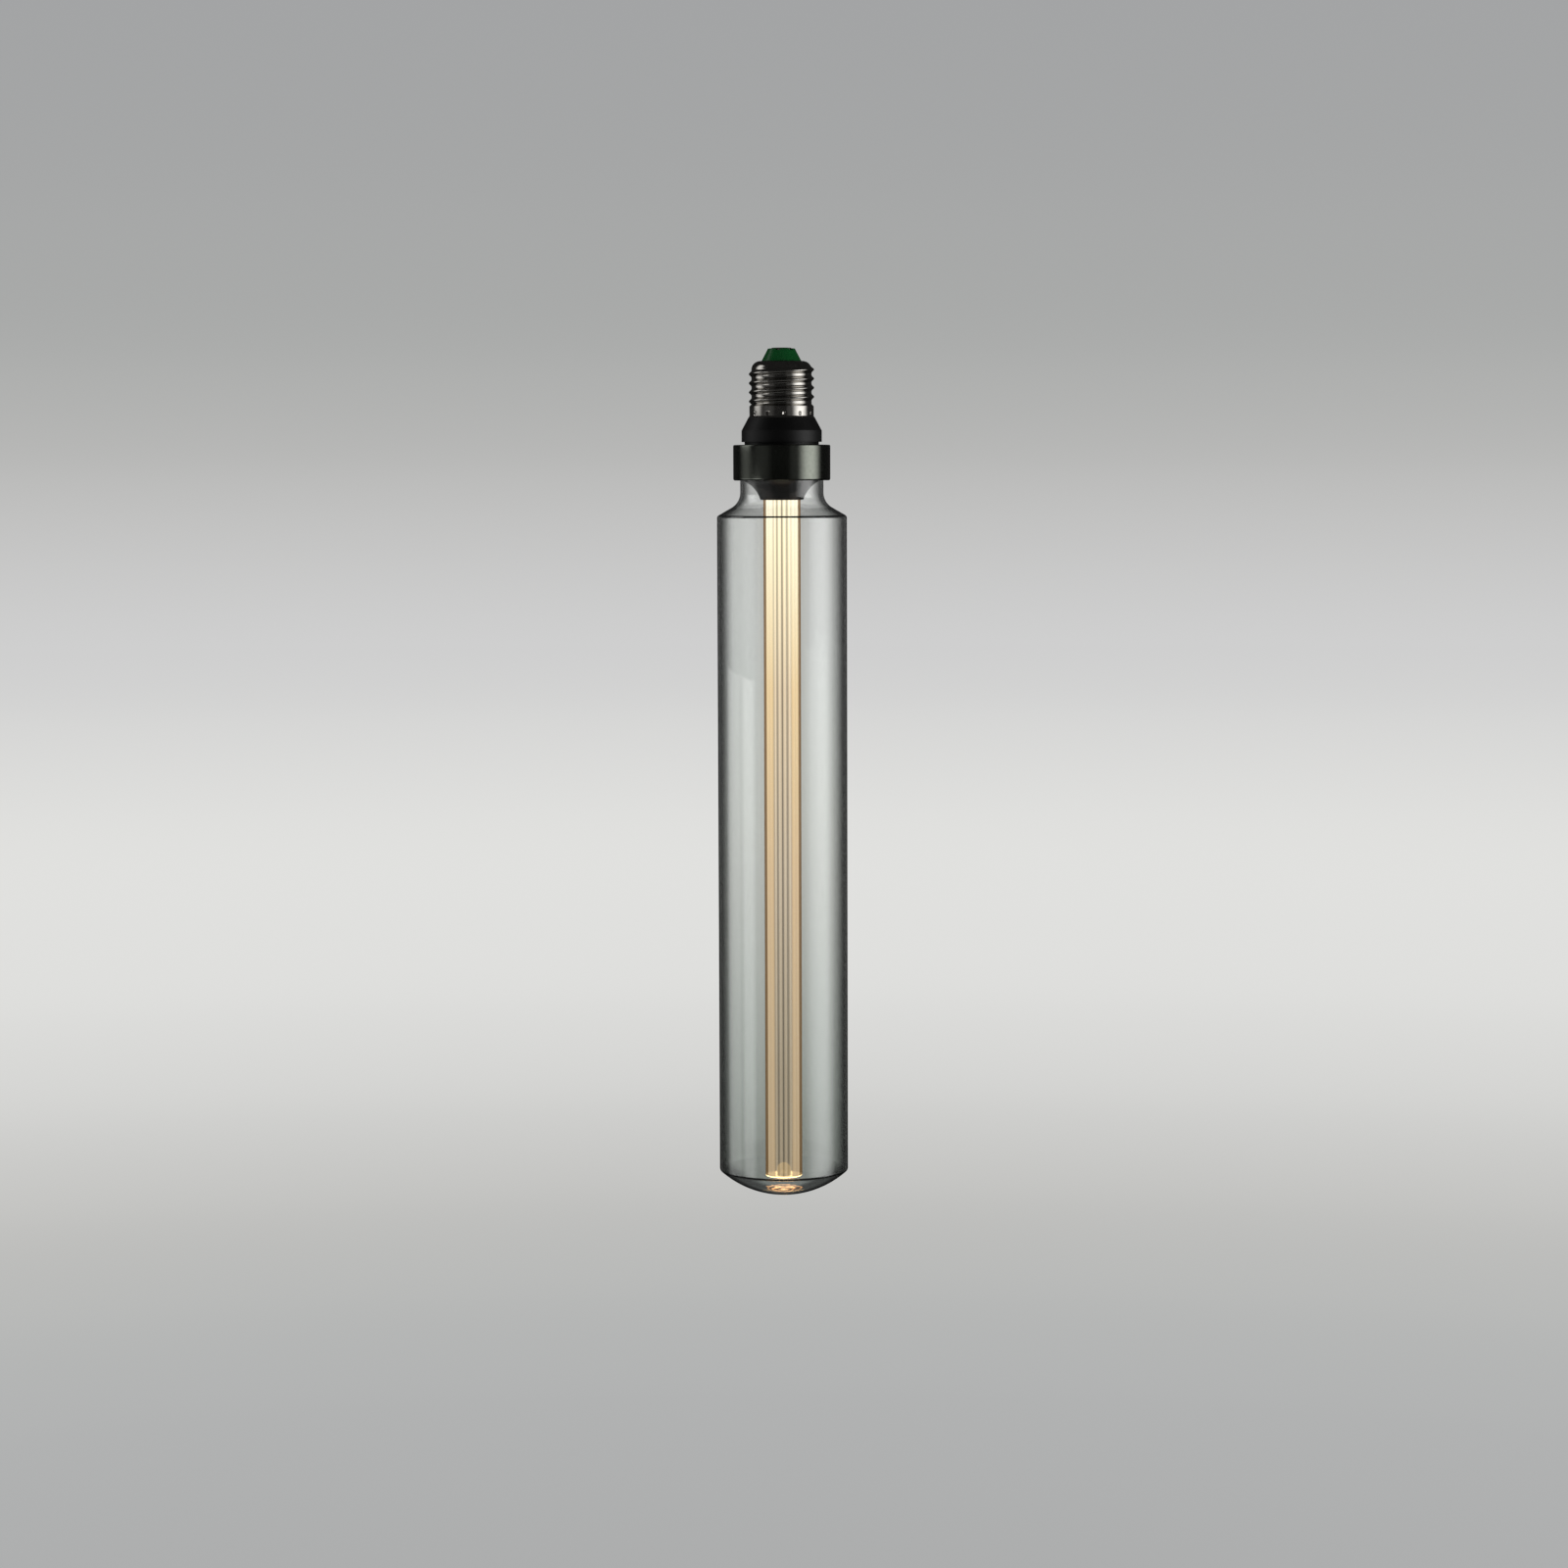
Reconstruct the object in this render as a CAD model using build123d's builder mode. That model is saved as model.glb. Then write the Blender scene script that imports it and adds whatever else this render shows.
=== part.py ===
from build123d import *

import math
import os

os.makedirs("parts", exist_ok=True)

# A tubular LED light bulb with its screw cap upwards. All sizes are in millimetres.
# The axis is Z. Height 0 is the top of the centre contact, and everything hangs below it.

# Clearances between pieces that fit together
fit = 0.1
wire_fit = 0.15

# Centre contact and insulator
contact_diameter = 8.4
contact_thickness = 0.9
contact_proud = 0.3
contact_stem_diameter = 2.6
contact_tail = 0.8
insulator_top_diameter = 10.8
insulator_base_diameter = 16.0
insulator_height = 5.0
insulator_flange = 1.2
contact_edge = 0.35
notch_count = 6
notch_width = 1.8
notch_depth = 0.7
notch_turn = 15

# Screw shell, drawn from thin sheet
sheet = 0.35
thread_crest_diameter = 26.2
thread_root_diameter = 24.1
thread_pitch = 3.629
thread_turns = 3.75
thread_top_crest = 2.8
thread_top_turn = 54
thread_foot = 2.1
thread_tip = 0.55
thread_root_bite = 0.5
shell_height = 22.6
shell_shoulder_radius = 3.4
shell_shoulder_runs = 2
skirt_diameter = 25.8
skirt_height = 4.6
skirt_step = 0.9
lip_diameter = 26.8
lip_height = 0.7
punch_count = 12
punch_width = 1.1
punch_length = 1.5
punch_depth = 0.4
punch_height = 1.0
punch_turn = 5
punch_taper = 35

# Housing, moulded in plastic
spigot_wall = 1.2
spigot_top_gap = 2.2
housing_cone_height = 5.1
housing_diameter = 32.2
housing_band_height = 4.5
housing_neck_diameter = 29.8
housing_neck_height = 1.2
housing_floor = 3.2
housing_opening_diameter = 14.0
housing_wall = 2.0
cavity_depth = 6.4
cavity_cone = 3.0
boss_diameter = 4.4
boss_height = 3.0
rib_depth = 1.1
rib_thickness = 1.0
rib_root = 0.4
rib_drop = 1.0

# Collar ring and the cement that holds the glass in it
collar_wall = 2.35
collar_height = 14.2
collar_web = 2.0
collar_bore_diameter = 27.0
collar_edge = 0.35
collar_foot_edge = 0.7
cement = 0.45
cement_skin = 0.03
cement_recess = 0.6

# Glass envelope
glass_wall = 1.0
neck_diameter = 33.4
neck_straight = 4.8
neck_insert = 10.6
neck_flare_radius = 7.0
shoulder_angle = 60
shoulder_inner_radius = 0.4
tube_diameter = 52.2
tube_length = 264.6
dome_rise = 10.2
dome_inner_corner = 0.3

# Light guide
guide_diameter = 15.0
guide_length = 287.0
guide_head_diameter = 17.2
guide_head = 2.0
flute_count = 24
flute_depth = 0.25
flute_radius = 0.6
recess_diameter = 5.6
recess_depth = 5.2

# Holder, heat sink and LED board
sink_diameter = 29.4
sink_flange = 3.4
sink_boss_diameter = 26.0
sink_boss = 2.0
led_board_diameter = 24.6
led_board_thickness = 1.2
led_size = 2.8
led_thickness = 0.7
led_pitch = 3.4
led_rows = 2
led_gap = 0.2
holder_rim_height = 9.2
holder_flare_height = 7.6
holder_mouth_diameter = 17.4
holder_flare_radius = 11.1
holder_flare_runs = 4
holder_pocket = 1.8

# Screws
board_screw_diameter = 2.0
board_screw_length = 4.0
board_screw_circle_diameter = 21.2
housing_screw_diameter = 2.2
housing_screw_length = 9.5
housing_screw_circle_diameter = 19.0
screw_head_ratio = 1.7
screw_head_height = 1.2
screw_head_sink = 0.2
screw_slot = 0.5
screw_count = 3
housing_screw_turn = 90
board_screw_turn = 30

# Driver board and what it carries
board_thickness = 1.2
board_top_gap = 2.0
capacitor_diameter = 8.0
capacitor_height = 12.5
choke_diameter = 7.4
choke_height = 8.0
choke_flange = 1.2
choke_core_diameter = 5.8
film_width = 7.2
film_depth = 4.0
film_height = 7.0
rectifier_width = 4.7
rectifier_depth = 2.4
rectifier_height = 3.9
rectifier_legs = 2
chip_width = 3.9
chip_depth = 1.5
chip_height = 4.9
chip_legs = 4
resistor_diameter = 2.6
resistor_length = 7.0
resistor_x = 5.2
resistor_drop = 1.6
capacitor_x = -3.6
capacitor_drop = 1.2
capacitor_pins = 3.5
can_crimp = 0.8
lead_drop = 1.2
lead_bend = 0.7
film_pins = 5.0
film_drop = 2.0
choke_drop = 16.0
rectifier_drop = 12.0
chip_drop = 19.0
leg_width = 0.5
leg_pitch = 1.27
leg_reach = 0.9
leg_thickness = 0.25
lead_diameter = 0.6
wire_diameter = 1.2
wire_bend = 1.2
neutral_groove = 0.8
neutral_length = 5.5
neutral_rise = 0.9
led_lead_spread = 12.0
led_lead_start = 2.6
led_lead_offset = 3.2

# Heights of the stack, from the top down
insulator_top = -contact_proud
shell_top = insulator_top - insulator_height
shell_bottom = shell_top - shell_height
cone_bottom = shell_bottom - housing_cone_height
band_bottom = cone_bottom - housing_band_height
collar_top = band_bottom - housing_neck_height
web_bottom = collar_top - collar_web
collar_bottom = collar_top - collar_height
sink_face = web_bottom - sink_flange
board_seat = sink_face - sink_boss
led_board_face = board_seat - led_board_thickness
guide_top = led_board_face - led_thickness - led_gap
guide_shelf = guide_top - guide_head
guide_bottom = guide_top - guide_length
holder_top = sink_face - fit
rim_bottom = holder_top - holder_rim_height
holder_bottom = rim_bottom - holder_flare_height
neck_top = collar_bottom + neck_insert
flare_top = collar_bottom - neck_straight
slope = math.radians(shoulder_angle)
shoulder_radius = shoulder_inner_radius + glass_wall
dome_corner = dome_inner_corner + glass_wall
slope_turn = 1 - math.cos(slope)
slope_run = (tube_diameter - neck_diameter) / 2 - (neck_flare_radius + shoulder_radius) * slope_turn
shoulder_height = (neck_flare_radius + shoulder_radius) * math.sin(slope) + slope_run / math.tan(slope)
tube_top = flare_top - shoulder_height
tube_bottom = tube_top - tube_length
dome_bottom = tube_bottom - dome_rise
dome_ball = ((tube_diameter / 2) ** 2 + dome_rise**2) / (2 * dome_rise)
spigot_top = shell_top - sheet - insulator_flange - spigot_top_gap
step_top = shell_bottom + skirt_height + skirt_step
punch_centre = shell_bottom + lip_height + punch_height
crimp_half = punch_length / 2 + sheet
plug_bottom = web_bottom + fit
floor_top = plug_bottom + housing_floor
cavity_top = floor_top + cavity_depth + cavity_cone
pocket_floor = led_board_face - holder_pocket
board_top = spigot_top - board_top_gap
board_bottom = floor_top + fit
thread_start = shell_top - thread_top_crest - thread_turns * thread_pitch

# Radii that several pieces share
root_radius = thread_root_diameter / 2
crest_radius = thread_crest_diameter / 2
flange_radius = root_radius - shell_shoulder_radius
spigot_radius = root_radius - sheet - fit
bore_radius = spigot_radius - spigot_wall
foot_radius = skirt_diameter / 2 - sheet - fit
cavity_diameter = housing_neck_diameter - 2 * housing_wall
cement_radius = neck_diameter / 2 + cement
collar_radius = cement_radius + collar_wall
guide_hole_radius = guide_diameter / 2 + fit
recess_radius = recess_diameter / 2
recess_round = guide_bottom + recess_depth - recess_radius
contact_hole_radius = contact_stem_diameter / 2 + fit
board_face = board_thickness / 2
part_gap = board_face + fit
neutral_y = -part_gap - lead_diameter / 2
thread_angle = math.radians(thread_top_turn - 360 * thread_turns)
thread_x = (math.cos(thread_angle), math.sin(thread_angle), 0)
thread_normal = (math.sin(thread_angle), -math.cos(thread_angle), 0)


def in_runs(arc, runs):
    """The points of an arc that is drawn as a few straight runs, which keeps its faces few."""
    return [arc @ (i / runs) for i in range(runs + 1)]


def tube_outline(inset):
    """The glass profile from the neck's top to the dome's middle, moved inwards by the inset."""
    neck = neck_diameter / 2 - inset
    side = tube_diameter / 2 - inset
    flare = neck_flare_radius + inset
    round_off = shoulder_radius - inset
    flare_end = (neck + flare * slope_turn, flare_top - flare * math.sin(slope))
    round_start = (side - round_off * slope_turn, tube_top + round_off * math.sin(slope))
    ball = dome_ball - inset
    middle = dome_bottom + dome_ball
    corner = dome_corner - inset
    reach = side - corner
    drop = math.sqrt((ball - corner) ** 2 - reach**2)
    corner_end = (reach * ball / (ball - corner), middle - drop * ball / (ball - corner))
    with BuildLine() as outline:
        Line((neck, neck_top), (neck, flare_top))
        RadiusArc((neck, flare_top), flare_end, -flare)
        Line(flare_end, round_start)
        RadiusArc(round_start, (side, tube_top), round_off)
        Line((side, tube_top), (side, middle - drop))
        RadiusArc((side, middle - drop), corner_end, corner)
        RadiusArc(corner_end, (0, dome_bottom + inset), ball)
    return outline.line


# Glass envelope, blown in one piece
with BuildPart() as glass_envelope:
    with BuildSketch(Plane.XZ):
        with BuildLine():
            add(tube_outline(0))
            Line((0, dome_bottom), (0, dome_bottom + glass_wall))
            add(tube_outline(glass_wall))
            Line((neck_diameter / 2 - glass_wall, neck_top), (neck_diameter / 2, neck_top))
        make_face()
    revolve(axis=Axis.Z)
glass_envelope.part.label = "glass_envelope"
export_step(glass_envelope.part, "parts/glass_envelope.step")


# Light guide: a clear rod with a head that the holder traps, fine flutes along it and a blind recess
with BuildPart() as light_guide:
    with BuildSketch(Plane.XY.offset(guide_shelf)):
        Circle(guide_diameter / 2)
        with PolarLocations(guide_diameter / 2 + flute_radius - flute_depth, flute_count):
            Circle(flute_radius, mode=Mode.SUBTRACT)
    extrude(amount=guide_bottom - guide_shelf)
    with BuildSketch(Plane.XY.offset(guide_shelf)):
        Circle(guide_head_diameter / 2)
    extrude(amount=guide_head)
    with BuildSketch(Plane.XZ):
        with BuildLine():
            Line((0, guide_bottom), (recess_radius, guide_bottom))
            Line((recess_radius, guide_bottom), (recess_radius, recess_round))
            RadiusArc((recess_radius, recess_round), (0, recess_round + recess_radius), -recess_radius)
            Line((0, recess_round + recess_radius), (0, guide_bottom))
        make_face()
    revolve(axis=Axis.Z, mode=Mode.SUBTRACT)
light_guide.part.label = "light_guide"
export_step(light_guide.part, "parts/light_guide.step")


# Holder: a cup on the heat sink's boss that narrows like a trumpet to the light guide
with BuildPart() as guide_holder:
    with BuildSketch(Plane.XZ):
        with BuildLine():
            flare = RadiusArc(
                (sink_diameter / 2, rim_bottom),
                (holder_mouth_diameter / 2, holder_bottom),
                -holder_flare_radius,
                mode=Mode.PRIVATE,
            )
            Polyline(
                (guide_hole_radius, holder_bottom),
                (guide_hole_radius, guide_shelf),
                (guide_head_diameter / 2 + fit, guide_shelf),
                (guide_head_diameter / 2 + fit, pocket_floor),
                (sink_boss_diameter / 2 + fit, pocket_floor),
                (sink_boss_diameter / 2 + fit, holder_top),
                (sink_diameter / 2, holder_top),
                *in_runs(flare, holder_flare_runs),
                close=True,
            )
        make_face()
    revolve(axis=Axis.Z)
guide_holder.part.label = "guide_holder"
export_step(guide_holder.part, "parts/guide_holder.step")


# Collar ring, turned from metal: a web that the housing and the heat sink clamp, and a skirt round the neck
with BuildPart() as collar_ring:
    with BuildSketch(Plane.XZ) as collar_section:
        with BuildLine():
            Polyline(
                (collar_bore_diameter / 2, collar_top),
                (collar_radius, collar_top),
                (collar_radius, collar_bottom),
                (cement_radius, collar_bottom),
                (cement_radius, web_bottom),
                (collar_bore_diameter / 2, web_bottom),
                close=True,
            )
        make_face()
        chamfer(collar_section.vertices().group_by(Axis.Y)[-1].sort_by(Axis.X)[-1], collar_edge)
        chamfer(collar_section.vertices().group_by(Axis.Y)[0].sort_by(Axis.X)[-1], collar_foot_edge)
    revolve(axis=Axis.Z)
collar_ring.part.label = "collar_ring"
export_step(collar_ring.part, "parts/collar_ring.step")


# Cement between the glass neck and the collar
with BuildPart() as cement_ring:
    with BuildSketch(Plane.XY.offset(collar_bottom + cement_recess)):
        Circle(cement_radius - cement_skin)
        Circle(neck_diameter / 2 + cement_skin, mode=Mode.SUBTRACT)
    extrude(amount=neck_top - collar_bottom - cement_recess)
cement_ring.part.label = "cement_ring"
export_step(cement_ring.part, "parts/cement_ring.step")


# Housing: spigot, cone, band and neck, with the floor that takes the screws
with BuildPart() as cap_housing:
    with BuildSketch(Plane.XZ):
        with BuildLine():
            Polyline(
                (bore_radius, spigot_top),
                (spigot_radius, spigot_top),
                (spigot_radius, step_top),
                (foot_radius, step_top - skirt_step),
                (foot_radius, punch_centre + crimp_half),
                (foot_radius - punch_depth, punch_centre + crimp_half),
                (foot_radius - punch_depth, punch_centre - crimp_half),
                (foot_radius, punch_centre - crimp_half),
                (foot_radius, shell_bottom),
                (lip_diameter / 2, shell_bottom),
                (housing_diameter / 2, cone_bottom),
                (housing_diameter / 2, band_bottom),
                (housing_neck_diameter / 2, band_bottom),
                (housing_neck_diameter / 2, collar_top),
                (collar_bore_diameter / 2 - fit, collar_top),
                (collar_bore_diameter / 2 - fit, plug_bottom),
                (housing_opening_diameter / 2, plug_bottom),
                (housing_opening_diameter / 2, floor_top),
                (cavity_diameter / 2, floor_top),
                (cavity_diameter / 2, cone_bottom),
                (bore_radius, cavity_top),
                close=True,
            )
        make_face()
    revolve(axis=Axis.Z)
    with BuildSketch(Plane.XY.offset(cavity_top)):
        with GridLocations(2 * bore_radius - rib_depth, board_thickness + 2 * fit + rib_thickness, 2, 2):
            Rectangle(rib_depth + rib_root, rib_thickness)
    extrude(amount=spigot_top - rib_drop - cavity_top)
    with BuildSketch(Plane.XY.offset(floor_top)):
        with PolarLocations(housing_screw_circle_diameter / 2, screw_count, start_angle=housing_screw_turn):
            Circle(boss_diameter / 2)
    extrude(amount=boss_height)
    with Locations((0, 0, floor_top + boss_height)):
        with PolarLocations(housing_screw_circle_diameter / 2, screw_count, start_angle=housing_screw_turn):
            Hole(housing_screw_diameter / 2 + fit)
    with BuildSketch(Plane.XY.offset(spigot_top)):
        with Locations((-spigot_radius, neutral_y)):
            Rectangle(2 * neutral_groove, lead_diameter + 2 * wire_fit)
    extrude(amount=-neutral_length - lead_diameter, mode=Mode.SUBTRACT)
cap_housing.part.label = "cap_housing"
export_step(cap_housing.part, "parts/cap_housing.step")


def shell_form(inset):
    """The solid form of the drawn shell without its thread, its surface moved inwards by the inset."""
    root = root_radius - inset
    top = shell_top - inset
    round_off = shell_shoulder_radius - inset
    with BuildPart() as form:
        with BuildSketch(Plane.XZ):
            with BuildLine():
                shoulder = RadiusArc(
                    (root - round_off, top), (root, top - round_off), round_off, mode=Mode.PRIVATE
                )
                Polyline(
                    (0, top),
                    *in_runs(shoulder, shell_shoulder_runs),
                    (root, step_top),
                    (skirt_diameter / 2 - inset, step_top - skirt_step),
                    (skirt_diameter / 2 - inset, shell_bottom + lip_height),
                    (lip_diameter / 2 - inset, shell_bottom),
                    (0, shell_bottom),
                    close=True,
                )
            make_face()
        revolve(axis=Axis.Z)
    return form.part


def thread_ridge(inset):
    """One right-hand ridge wound round the shell, its flanks and crest moved inwards by the inset."""
    flank = (thread_foot - thread_tip) / 2 / (crest_radius - root_radius)
    crest = crest_radius - inset
    base = root_radius - inset - thread_root_bite
    back = inset * math.sqrt(1 + flank * flank)
    half_crest = thread_tip / 2 + flank * inset - back
    half_base = thread_tip / 2 + flank * (crest_radius - base) - back
    start = Plane((0, 0, thread_start), x_dir=thread_x, z_dir=thread_normal)
    with BuildPart() as ridge:
        with BuildLine(Plane((0, 0, thread_start), x_dir=thread_x, z_dir=(0, 0, 1))) as path:
            Helix(thread_pitch, thread_turns * thread_pitch, crest)
        with BuildSketch(start):
            with BuildLine():
                Polyline(
                    (crest, half_crest),
                    (base, half_base),
                    (base, -half_base),
                    (crest, -half_crest),
                    close=True,
                )
            make_face()
        sweep(path=path.line, is_frenet=True)
    return ridge.part


def punches(depth, grow):
    """The planes of the punch marks, and the tapered blocks that they leave, grown by the sheet inside."""
    with BuildPart() as marks:
        planes = []
        for i in range(punch_count):
            turn = math.radians(punch_turn + 360 * i / punch_count)
            out = Vector(math.cos(turn), math.sin(turn), 0)
            centre = out * (skirt_diameter / 2 + grow) + Vector(0, 0, punch_centre)
            planes.append(Plane(centre, x_dir=(0, 0, 1), z_dir=out))
        with BuildSketch(*planes):
            Rectangle(punch_length, punch_width)
        extrude(amount=-depth, taper=punch_taper)
    return marks.part


# Screw shell: one thin sheet with rolled thread, punch marks and an out-turned lip
with BuildPart() as screw_shell:
    add(shell_form(0))
    add(thread_ridge(0))
    add(shell_form(sheet), mode=Mode.SUBTRACT)
    add(thread_ridge(sheet), mode=Mode.SUBTRACT)
    add(punches(punch_depth + sheet / 2, -sheet / 2))
    add(punches(punch_depth + fit, fit), mode=Mode.SUBTRACT)
    with Locations((0, 0, shell_top)):
        Hole(insulator_base_diameter / 2 + fit, depth=2 * sheet)
screw_shell.part.label = "screw_shell"
export_step(screw_shell.part, "parts/screw_shell.step")


# Insulator: a moulded cone with a notched rim round the contact, and a flange under the shell's top
flange_top = shell_top - sheet - fit
flange_bottom = flange_top - insulator_flange
contact_seat = -contact_thickness
rim_inner = contact_diameter / 2 + fit
with BuildPart() as insulator:
    with BuildSketch(Plane.XZ):
        with BuildLine():
            Polyline(
                (contact_hole_radius, flange_bottom),
                (flange_radius, flange_bottom),
                (flange_radius, flange_top),
                (insulator_base_diameter / 2, flange_top),
                (insulator_base_diameter / 2, shell_top),
                (insulator_top_diameter / 2, insulator_top),
                (rim_inner, insulator_top),
                (rim_inner, contact_seat),
                (contact_hole_radius, contact_seat),
                close=True,
            )
        make_face()
    revolve(axis=Axis.Z)
    with BuildSketch(Plane.XY.offset(insulator_top)):
        with PolarLocations(rim_inner, notch_count, start_angle=notch_turn):
            Rectangle(insulator_top_diameter / 2, notch_width)
    extrude(amount=-notch_depth, mode=Mode.SUBTRACT)
insulator.part.label = "insulator"
export_step(insulator.part, "parts/insulator.step")


# Centre contact: a flat-topped rivet whose tail takes the live wire
contact_end = flange_bottom - contact_tail
with BuildPart() as centre_contact:
    with BuildSketch(Plane.XY):
        Circle(contact_diameter / 2)
    extrude(amount=contact_seat)
    chamfer(centre_contact.edges().group_by(Axis.Z)[-1], contact_edge)
    with BuildSketch(Plane.XY.offset(contact_seat)):
        Circle(contact_stem_diameter / 2)
    extrude(amount=contact_end - contact_seat)
centre_contact.part.label = "centre_contact"
export_step(centre_contact.part, "parts/centre_contact.step")


# Heat sink: a turned slug with a boss, drilled for the leads and counterbored for the housing's screws
screw_head_radius = housing_screw_diameter * screw_head_ratio / 2
with BuildPart() as heat_sink:
    with BuildSketch(Plane.XY.offset(sink_face)):
        Circle(sink_diameter / 2)
    extrude(amount=sink_flange)
    with BuildSketch(Plane.XY.offset(sink_face)):
        Circle(sink_boss_diameter / 2)
    extrude(amount=-sink_boss)
    with BuildSketch(Plane.XY.offset(board_seat)):
        with PolarLocations(led_lead_spread / 2, 2):
            Circle(wire_diameter / 2 + wire_fit)
        with PolarLocations(housing_screw_circle_diameter / 2, screw_count, start_angle=housing_screw_turn):
            Circle(housing_screw_diameter / 2 + fit)
    extrude(amount=web_bottom - board_seat, mode=Mode.SUBTRACT)
    with BuildSketch(Plane.XY.offset(board_seat)):
        with PolarLocations(housing_screw_circle_diameter / 2, screw_count, start_angle=housing_screw_turn):
            Circle(screw_head_radius + fit)
    extrude(amount=screw_head_height + screw_head_sink, mode=Mode.SUBTRACT)
    with BuildSketch(Plane.XY.offset(board_seat)):
        with PolarLocations(board_screw_circle_diameter / 2, screw_count, start_angle=board_screw_turn):
            Circle(board_screw_diameter / 2 + fit)
    extrude(amount=board_screw_length - led_board_thickness + fit, mode=Mode.SUBTRACT)
heat_sink.part.label = "heat_sink"
export_step(heat_sink.part, "parts/heat_sink.step")


# LED board, with holes for its screws and leads
with BuildPart() as led_board:
    with BuildSketch(Plane.XY.offset(led_board_face)):
        Circle(led_board_diameter / 2)
        with PolarLocations(board_screw_circle_diameter / 2, screw_count, start_angle=board_screw_turn):
            Circle(board_screw_diameter / 2 + fit, mode=Mode.SUBTRACT)
        with PolarLocations(led_lead_spread / 2, 2):
            Circle(wire_diameter / 2 + wire_fit, mode=Mode.SUBTRACT)
    extrude(amount=led_board_thickness)
led_board.part.label = "led_board"
export_step(led_board.part, "parts/led_board.step")

with BuildPart() as led_emitters:
    with BuildSketch(Plane.XY.offset(led_board_face)):
        with GridLocations(led_pitch, led_pitch, led_rows, led_rows):
            Rectangle(led_size, led_size)
    extrude(amount=-led_thickness)
led_emitters.part.label = "led_emitters"
export_step(led_emitters.part, "parts/led_emitters.step")


def screw_group(diameter, length, circle, seat, start):
    """Screws with slotted heads under the given seat, pointing up, spaced on one circle."""
    head = diameter * screw_head_ratio / 2
    with BuildPart() as group:
        with BuildSketch(Plane.XY.offset(seat)):
            with PolarLocations(circle / 2, screw_count, start_angle=start):
                Circle(head)
        extrude(amount=-screw_head_height)
        with BuildSketch(Plane.XY.offset(seat)):
            with PolarLocations(circle / 2, screw_count, start_angle=start):
                Circle(diameter / 2)
        extrude(amount=length)
        with BuildSketch(Plane.XY.offset(seat - screw_head_height)):
            with PolarLocations(circle / 2, screw_count, start_angle=start):
                Rectangle(2 * head, screw_slot)
        extrude(amount=screw_slot, mode=Mode.SUBTRACT)
    return group.part


with BuildPart() as housing_screws:
    sunk = board_seat + screw_head_height + screw_head_sink
    add(
        screw_group(
            housing_screw_diameter,
            housing_screw_length,
            housing_screw_circle_diameter,
            sunk,
            housing_screw_turn,
        )
    )
housing_screws.part.label = "housing_screws"
export_step(housing_screws.part, "parts/housing_screws.step")

with BuildPart() as board_screws:
    add(
        screw_group(
            board_screw_diameter,
            board_screw_length,
            board_screw_circle_diameter,
            led_board_face,
            board_screw_turn,
        )
    )
board_screws.part.label = "board_screws"
export_step(board_screws.part, "parts/board_screws.step")


# Driver board, upright between the housing's ribs and standing on its floor
capacitor_place = (capacitor_x, -part_gap - capacitor_diameter / 2)
capacitor_top = board_top - capacitor_drop
capacitor_bottom = capacitor_top - capacitor_height
resistor_place = (resistor_x, -part_gap - resistor_diameter / 2)
resistor_top = board_top - resistor_drop
resistor_bottom = resistor_top - resistor_length
film_top = board_top - film_drop
film_bottom = film_top - film_height
with BuildPart() as driver_board:
    with BuildSketch(Plane.XY.offset(board_bottom)):
        Rectangle(2 * (bore_radius - wire_fit), board_thickness)
    extrude(amount=board_top - board_bottom)
    with BuildSketch(Plane.XZ.offset(-board_thickness)):
        with Locations((capacitor_x, capacitor_bottom - lead_drop)):
            with GridLocations(capacitor_pins, 0, 2, 1):
                Circle(lead_diameter / 2 + fit)
        with Locations((resistor_x, resistor_bottom - lead_drop)):
            Circle(lead_diameter / 2 + fit)
        with Locations((0, (film_top + film_bottom) / 2)):
            with GridLocations(film_pins, 0, 2, 1):
                Circle(lead_diameter / 2 + fit)
    extrude(amount=2 * board_thickness, mode=Mode.SUBTRACT)
driver_board.part.label = "driver_board"
export_step(driver_board.part, "parts/driver_board.step")


# Smoothing capacitor: a can with a crimped neck, whose two leads turn into the board
with BuildPart() as smoothing_capacitor:
    with BuildSketch(Plane.XY.offset(capacitor_bottom)):
        with Locations(capacitor_place):
            Circle(capacitor_diameter / 2)
    extrude(amount=capacitor_height)
    with BuildSketch(Plane.XY.offset(capacitor_bottom + can_crimp)):
        with Locations(capacitor_place):
            Circle(capacitor_diameter / 2 + fit)
            Circle(capacitor_diameter / 2 - can_crimp / 2, mode=Mode.SUBTRACT)
    extrude(amount=can_crimp, mode=Mode.SUBTRACT)
    for side in (-1, 1):
        lead_x = capacitor_x + side * capacitor_pins / 2
        with BuildLine() as lead:
            FilletPolyline(
                (lead_x, capacitor_place[1], capacitor_bottom),
                (lead_x, capacitor_place[1], capacitor_bottom - lead_drop),
                (lead_x, board_face, capacitor_bottom - lead_drop),
                radius=lead_bend,
            )
        with BuildSketch(Plane((lead_x, capacitor_place[1], capacitor_bottom), z_dir=(0, 0, -1))):
            Circle(lead_diameter / 2)
        sweep(path=lead.line)
smoothing_capacitor.part.label = "smoothing_capacitor"
export_step(smoothing_capacitor.part, "parts/smoothing_capacitor.step")


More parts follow.
